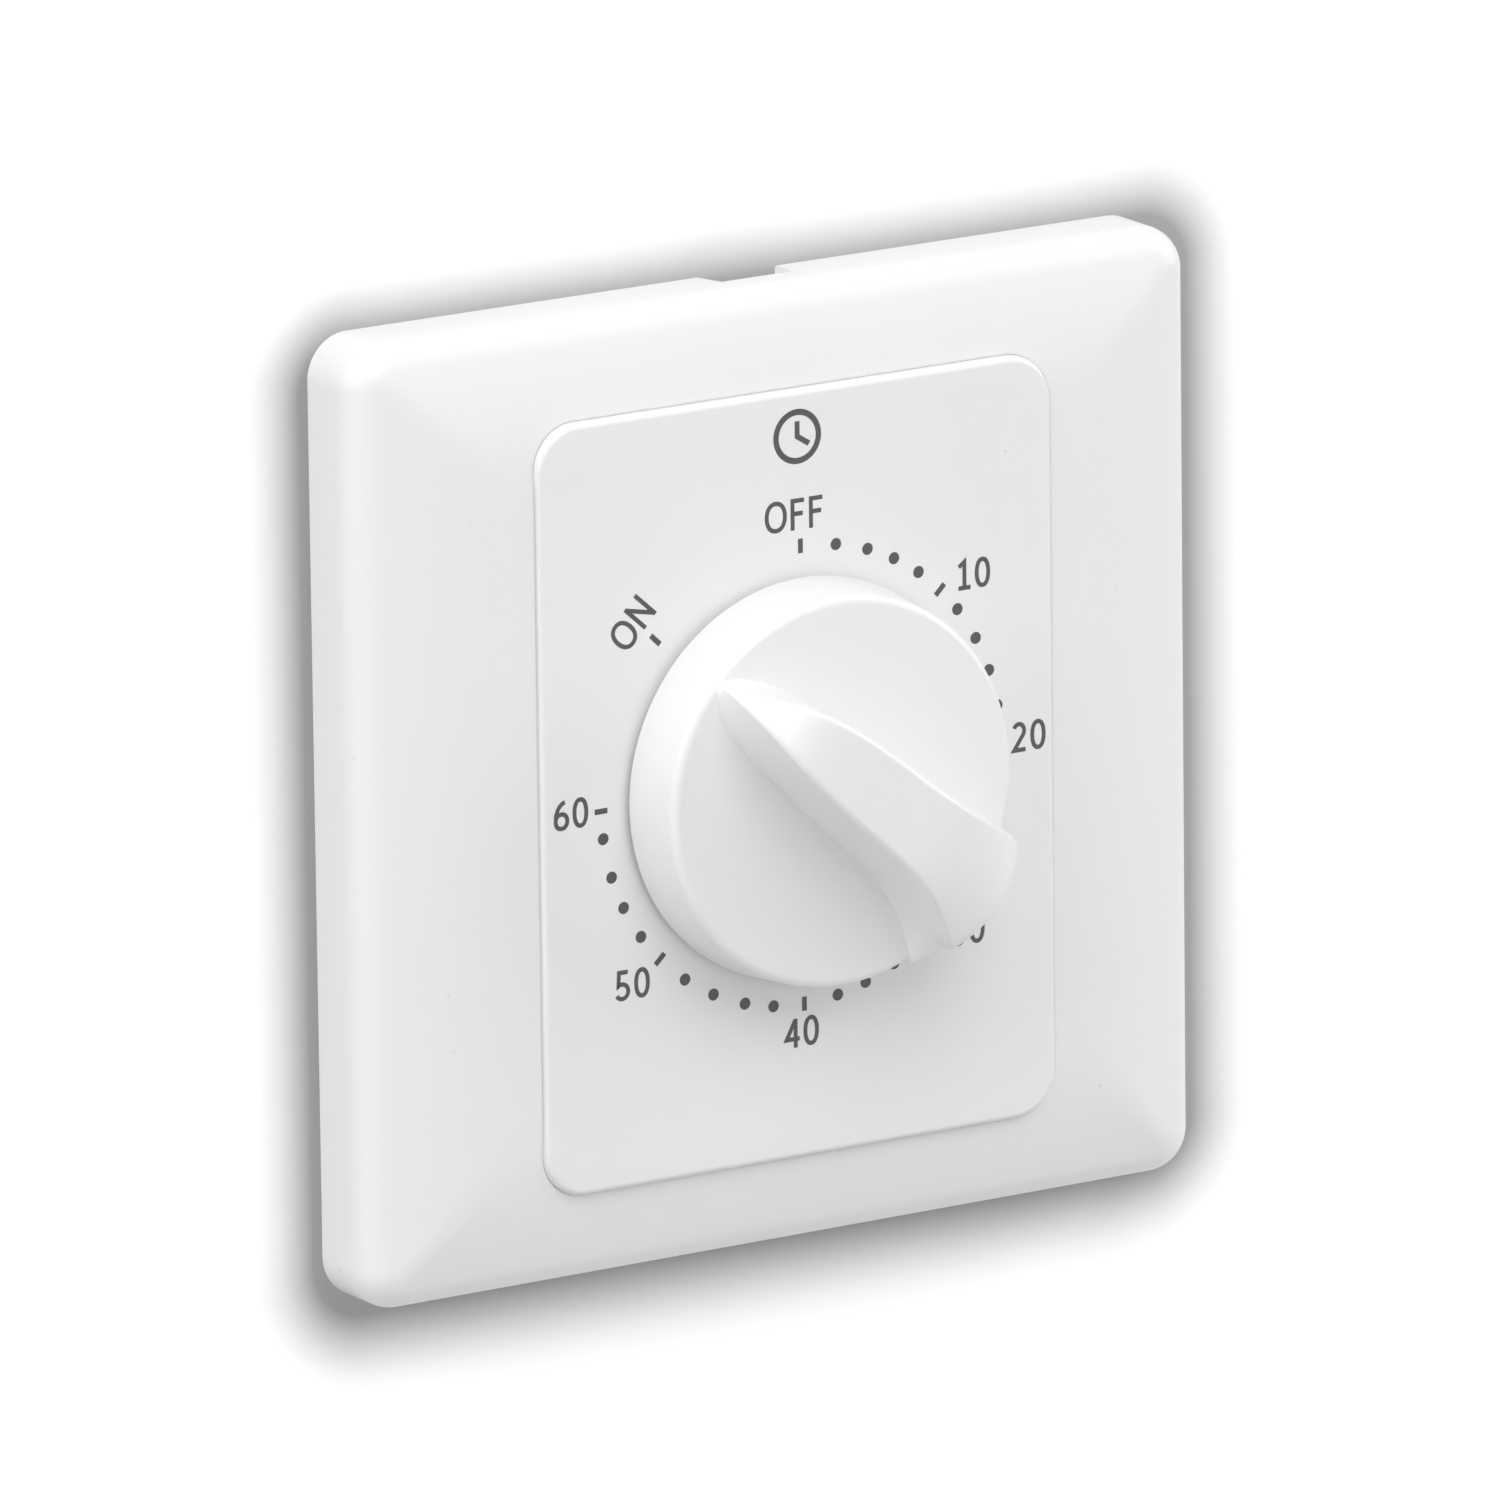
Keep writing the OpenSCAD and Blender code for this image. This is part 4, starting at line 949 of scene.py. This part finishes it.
def painted_shade_round(tree, place, half, depth, reach):
    """A painted shadow: 1 on the open card, falling to 1 - depth at a rounded rectangle a little larger than
    the plate and shifted to its lower right, so that the card is darkened round the plate like a cast shadow:
    the distance from it, as a share of the reach, is taken from 1 and raised to the power 1.6."""
    # Size, corner and shift of the painted shadow; the shift sets it right and down, as if cast from the upper
    # left
    grow_w, grow_h, corner, fade = 2.7 * MM, 0.8 * MM, 5 * MM, 1.6
    shift = (3.1 * MM, 0, -1.85 * MM)
    straight = (half + grow_w - corner, 1.0, half + grow_h - corner)
    steps = (("SUBTRACT", {1: shift}), ("ABSOLUTE", {}), ("SUBTRACT", {1: straight}),
             ("MAXIMUM", {1: (0, 0, 0)}), ("LENGTH", {}))
    for operation, other in steps:
        node = add_node(tree, "ShaderNodeVectorMath", {0: place, **other}, operation=operation)
        place = node.outputs["Value" if operation == "LENGTH" else "Vector"]
    near = map_value(tree, place, corner, corner + reach, 1.0, 0.0)
    return map_value(tree, maths(tree, "POWER", near, fade), 0.0, 1.0, 1.0, 1.0 - depth)


def stage_material(name, tone, lift, half, light):
    """A pale surface that keeps the shadow, carries a painted shade round the plate in its colour and glow, is
    lifted to white where it is seen, and is open from behind.
    """
    material = bpy.data.materials.new(name)
    material.use_nodes = True
    tree = material.node_tree
    tree.nodes.clear()
    place = add_node(tree, "ShaderNodeTexCoord").outputs["Object"]
    # Painted shade: darkens the card's colour round the plate by the distance from it, not by light
    shade = painted_shade_round(tree, place, half, light.shade, light.painted_shade_reach)
    tint = mix_colour(tree, "MULTIPLY", 1.0, (*tone, 1), shade)
    strength = map_value(tree, seen_rays(tree), 0.0, 1.0, 0.0, lift)
    diffuse = add_node(tree, "ShaderNodeBsdfDiffuse", {"Color": tint}).outputs[0]
    # The glow is darkened by the same painted shade
    glow = add_node(tree, "ShaderNodeEmission", {"Color": shade, "Strength": strength}).outputs[0]
    front = add_node(tree, "ShaderNodeAddShader", {0: diffuse, 1: glow}).outputs[0]
    clear = add_node(tree, "ShaderNodeBsdfTransparent").outputs[0]
    behind = add_node(tree, "ShaderNodeNewGeometry").outputs["Backfacing"]
    mix = add_node(tree, "ShaderNodeMixShader", {0: behind, 1: front, 2: clear}).outputs[0]
    add_node(tree, "ShaderNodeOutputMaterial", {"Surface": mix})
    return material


def card_shape(depth, side):
    """A square card across the wall's axis with a rounded opening for the case: rings from the opening out."""
    lines = ring_lines(12, 8)
    hole_w, hole_h, corner = 27 * MM, 35 * MM, 3 * MM
    inner, outer = rounded(lines, hole_w, hole_h, corner), rounded(lines, side / 2, side / 2, corner)
    share = np.linspace(0, 1, 9)[:, None, None]
    points, faces = woven(raised(inner * (1 - share) + outer * share, -depth), False)
    return upright(points), faces[:, ::-1]


def floor_shape(height):
    """A level square of quads, seen from above."""
    steps = np.linspace(-FLOOR_REACH, FLOOR_REACH, 9)
    plan = np.stack(np.meshgrid(steps, steps), axis=-1)
    return raised(plan, height).reshape(-1, 3), grid_faces(*plan.shape[:2])


def stage_piece(name, shape, finish):
    """A part of the stage: it is lit and catches shadows, and isn't a piece of the switch."""
    points, faces = shape
    mesh = bpy.data.meshes.new(name)
    mesh.from_pydata(points.tolist(), [], faces.tolist())
    dress(mesh, finish)
    piece = put(name, mesh)
    return piece


def photo_camera(scene):
    """The camera, at the angle and distance that were fitted to the photograph."""
    camera = bpy.data.cameras.new("camera")
    camera.sensor_width = 36
    camera.lens = 473.277
    right = (0.84657320, -0.53215111, -0.01135799)
    up = (0.14044710, 0.20274625, 0.96910710)
    back = (-0.51340863, -0.82201530, 0.24637862)
    place = Matrix.Translation((-0.8949288, -1.4353442, 0.4300844))
    holder = put("camera", camera)
    holder.matrix_world = place @ Matrix((right, up, back)).transposed().to_4x4()
    scene.camera = holder


def area_lamp(name, place, power):
    """A square lamp at a place, turned to the switch."""
    lamp = bpy.data.lights.new(name, "AREA")
    lamp.size = LAMP_SIDE
    lamp.energy = power
    holder = put(name, lamp)
    holder.location = place
    holder.rotation_euler = (-Vector(place)).to_track_quat("-Z", "Y").to_euler()


def even_world(scene, strength):
    """Even light from all round, with plain white where the background is seen."""
    world = bpy.data.worlds.new("even_light")
    scene.world = world
    world.use_nodes = True
    tree = world.node_tree
    tree.nodes.clear()
    white = (1, 1, 1, 1)
    even, seen = (add_node(tree, "ShaderNodeBackground", {"Color": white, "Strength": level}).outputs[0]
                  for level in (strength, 1.0))
    mix = add_node(tree, "ShaderNodeMixShader", {0: seen_rays(tree), 1: even, 2: seen}).outputs[0]
    add_node(tree, "ShaderNodeOutputWorld", {"Surface": mix})


class SWITCH_OT_stage(bpy.types.Operator):
    """Set the camera at the photograph's angle, the lamps, the even light, the card with a painted shade round
    the plate, and the floor
    """

    bl_idname = "wall_switch.stage"
    bl_label = "Stage"

    def execute(self, context):
        scene = context.scene
        light = scene.switch_stage
        photo_camera(scene)
        for side, place in LAMP_PLACES.items():
            area_lamp(side + "_lamp", place, getattr(light, side))
        even_world(scene, light.sky)
        scene.view_settings.view_transform = "Standard"
        half = scene.switch_frame.side / 2
        card = stage_piece("card", card_shape(light.card_gap, light.card_side),
                           stage_material("pale_card", light.card, light.lift, half, light))
        card.visible_shadow = False
        card.visible_diffuse = False
        stage_piece("floor", floor_shape(CAD_BOX[0][2] - light.floor_drop),
                    stage_material("pale_floor", light.floor, light.floor_lift, half, light))
        return {"FINISHED"}


class SWITCH_PT_panel(bpy.types.Panel):
    """Lists the pieces of the wall switch and its sizes"""

    bl_label = "Wall Switch"
    bl_idname = "SWITCH_PT_panel"
    bl_space_type = "VIEW_3D"
    bl_region_type = "UI"
    bl_category = "Wall Switch"

    def draw(self, context):
        column = self.layout.column(align=True)
        for operator in OPERATORS:
            column.operator(operator.bl_idname)
        for name in SETTINGS:
            group = getattr(context.scene, name)
            box = self.layout.box()
            box.label(text=group.bl_rna.name)
            for key in group.__annotations__:
                box.prop(group, key)


SETTINGS = {"switch_frame": FrameSizes, "switch_panel": PanelSizes, "switch_knob": KnobSizes,
            "switch_print": DialPrint, "switch_finish": Finishes, "switch_stage": StageLight}
OPERATORS = (SWITCH_OT_front_frame, SWITCH_OT_dial_panel, SWITCH_OT_knob, SWITCH_OT_dial_print,
             SWITCH_OT_rear_case, SWITCH_OT_clockwork, SWITCH_OT_stage)


def register():
    """Registers the classes and puts each group of settings on the scene."""
    for name, group in SETTINGS.items():
        bpy.utils.register_class(group)
        setattr(bpy.types.Scene, name, PointerProperty(type=group))
    for operator in OPERATORS:
        bpy.utils.register_class(operator)
    bpy.utils.register_class(SWITCH_PT_panel)


def unregister():
    """Takes the classes and settings away again, in the opposite order."""
    bpy.utils.unregister_class(SWITCH_PT_panel)
    for operator in reversed(OPERATORS):
        bpy.utils.unregister_class(operator)
    for name, group in reversed(list(SETTINGS.items())):
        delattr(bpy.types.Scene, name)
        bpy.utils.unregister_class(group)


def main():
    """Builds the switch piece by piece."""
    register()
    bpy.ops.wall_switch.front_frame()
    bpy.ops.wall_switch.dial_panel()
    bpy.ops.wall_switch.knob()
    bpy.ops.wall_switch.dial_print()
    bpy.ops.wall_switch.rear_case()
    bpy.ops.wall_switch.clockwork()
    bpy.ops.wall_switch.stage()


if __name__ == "__main__":
    main()
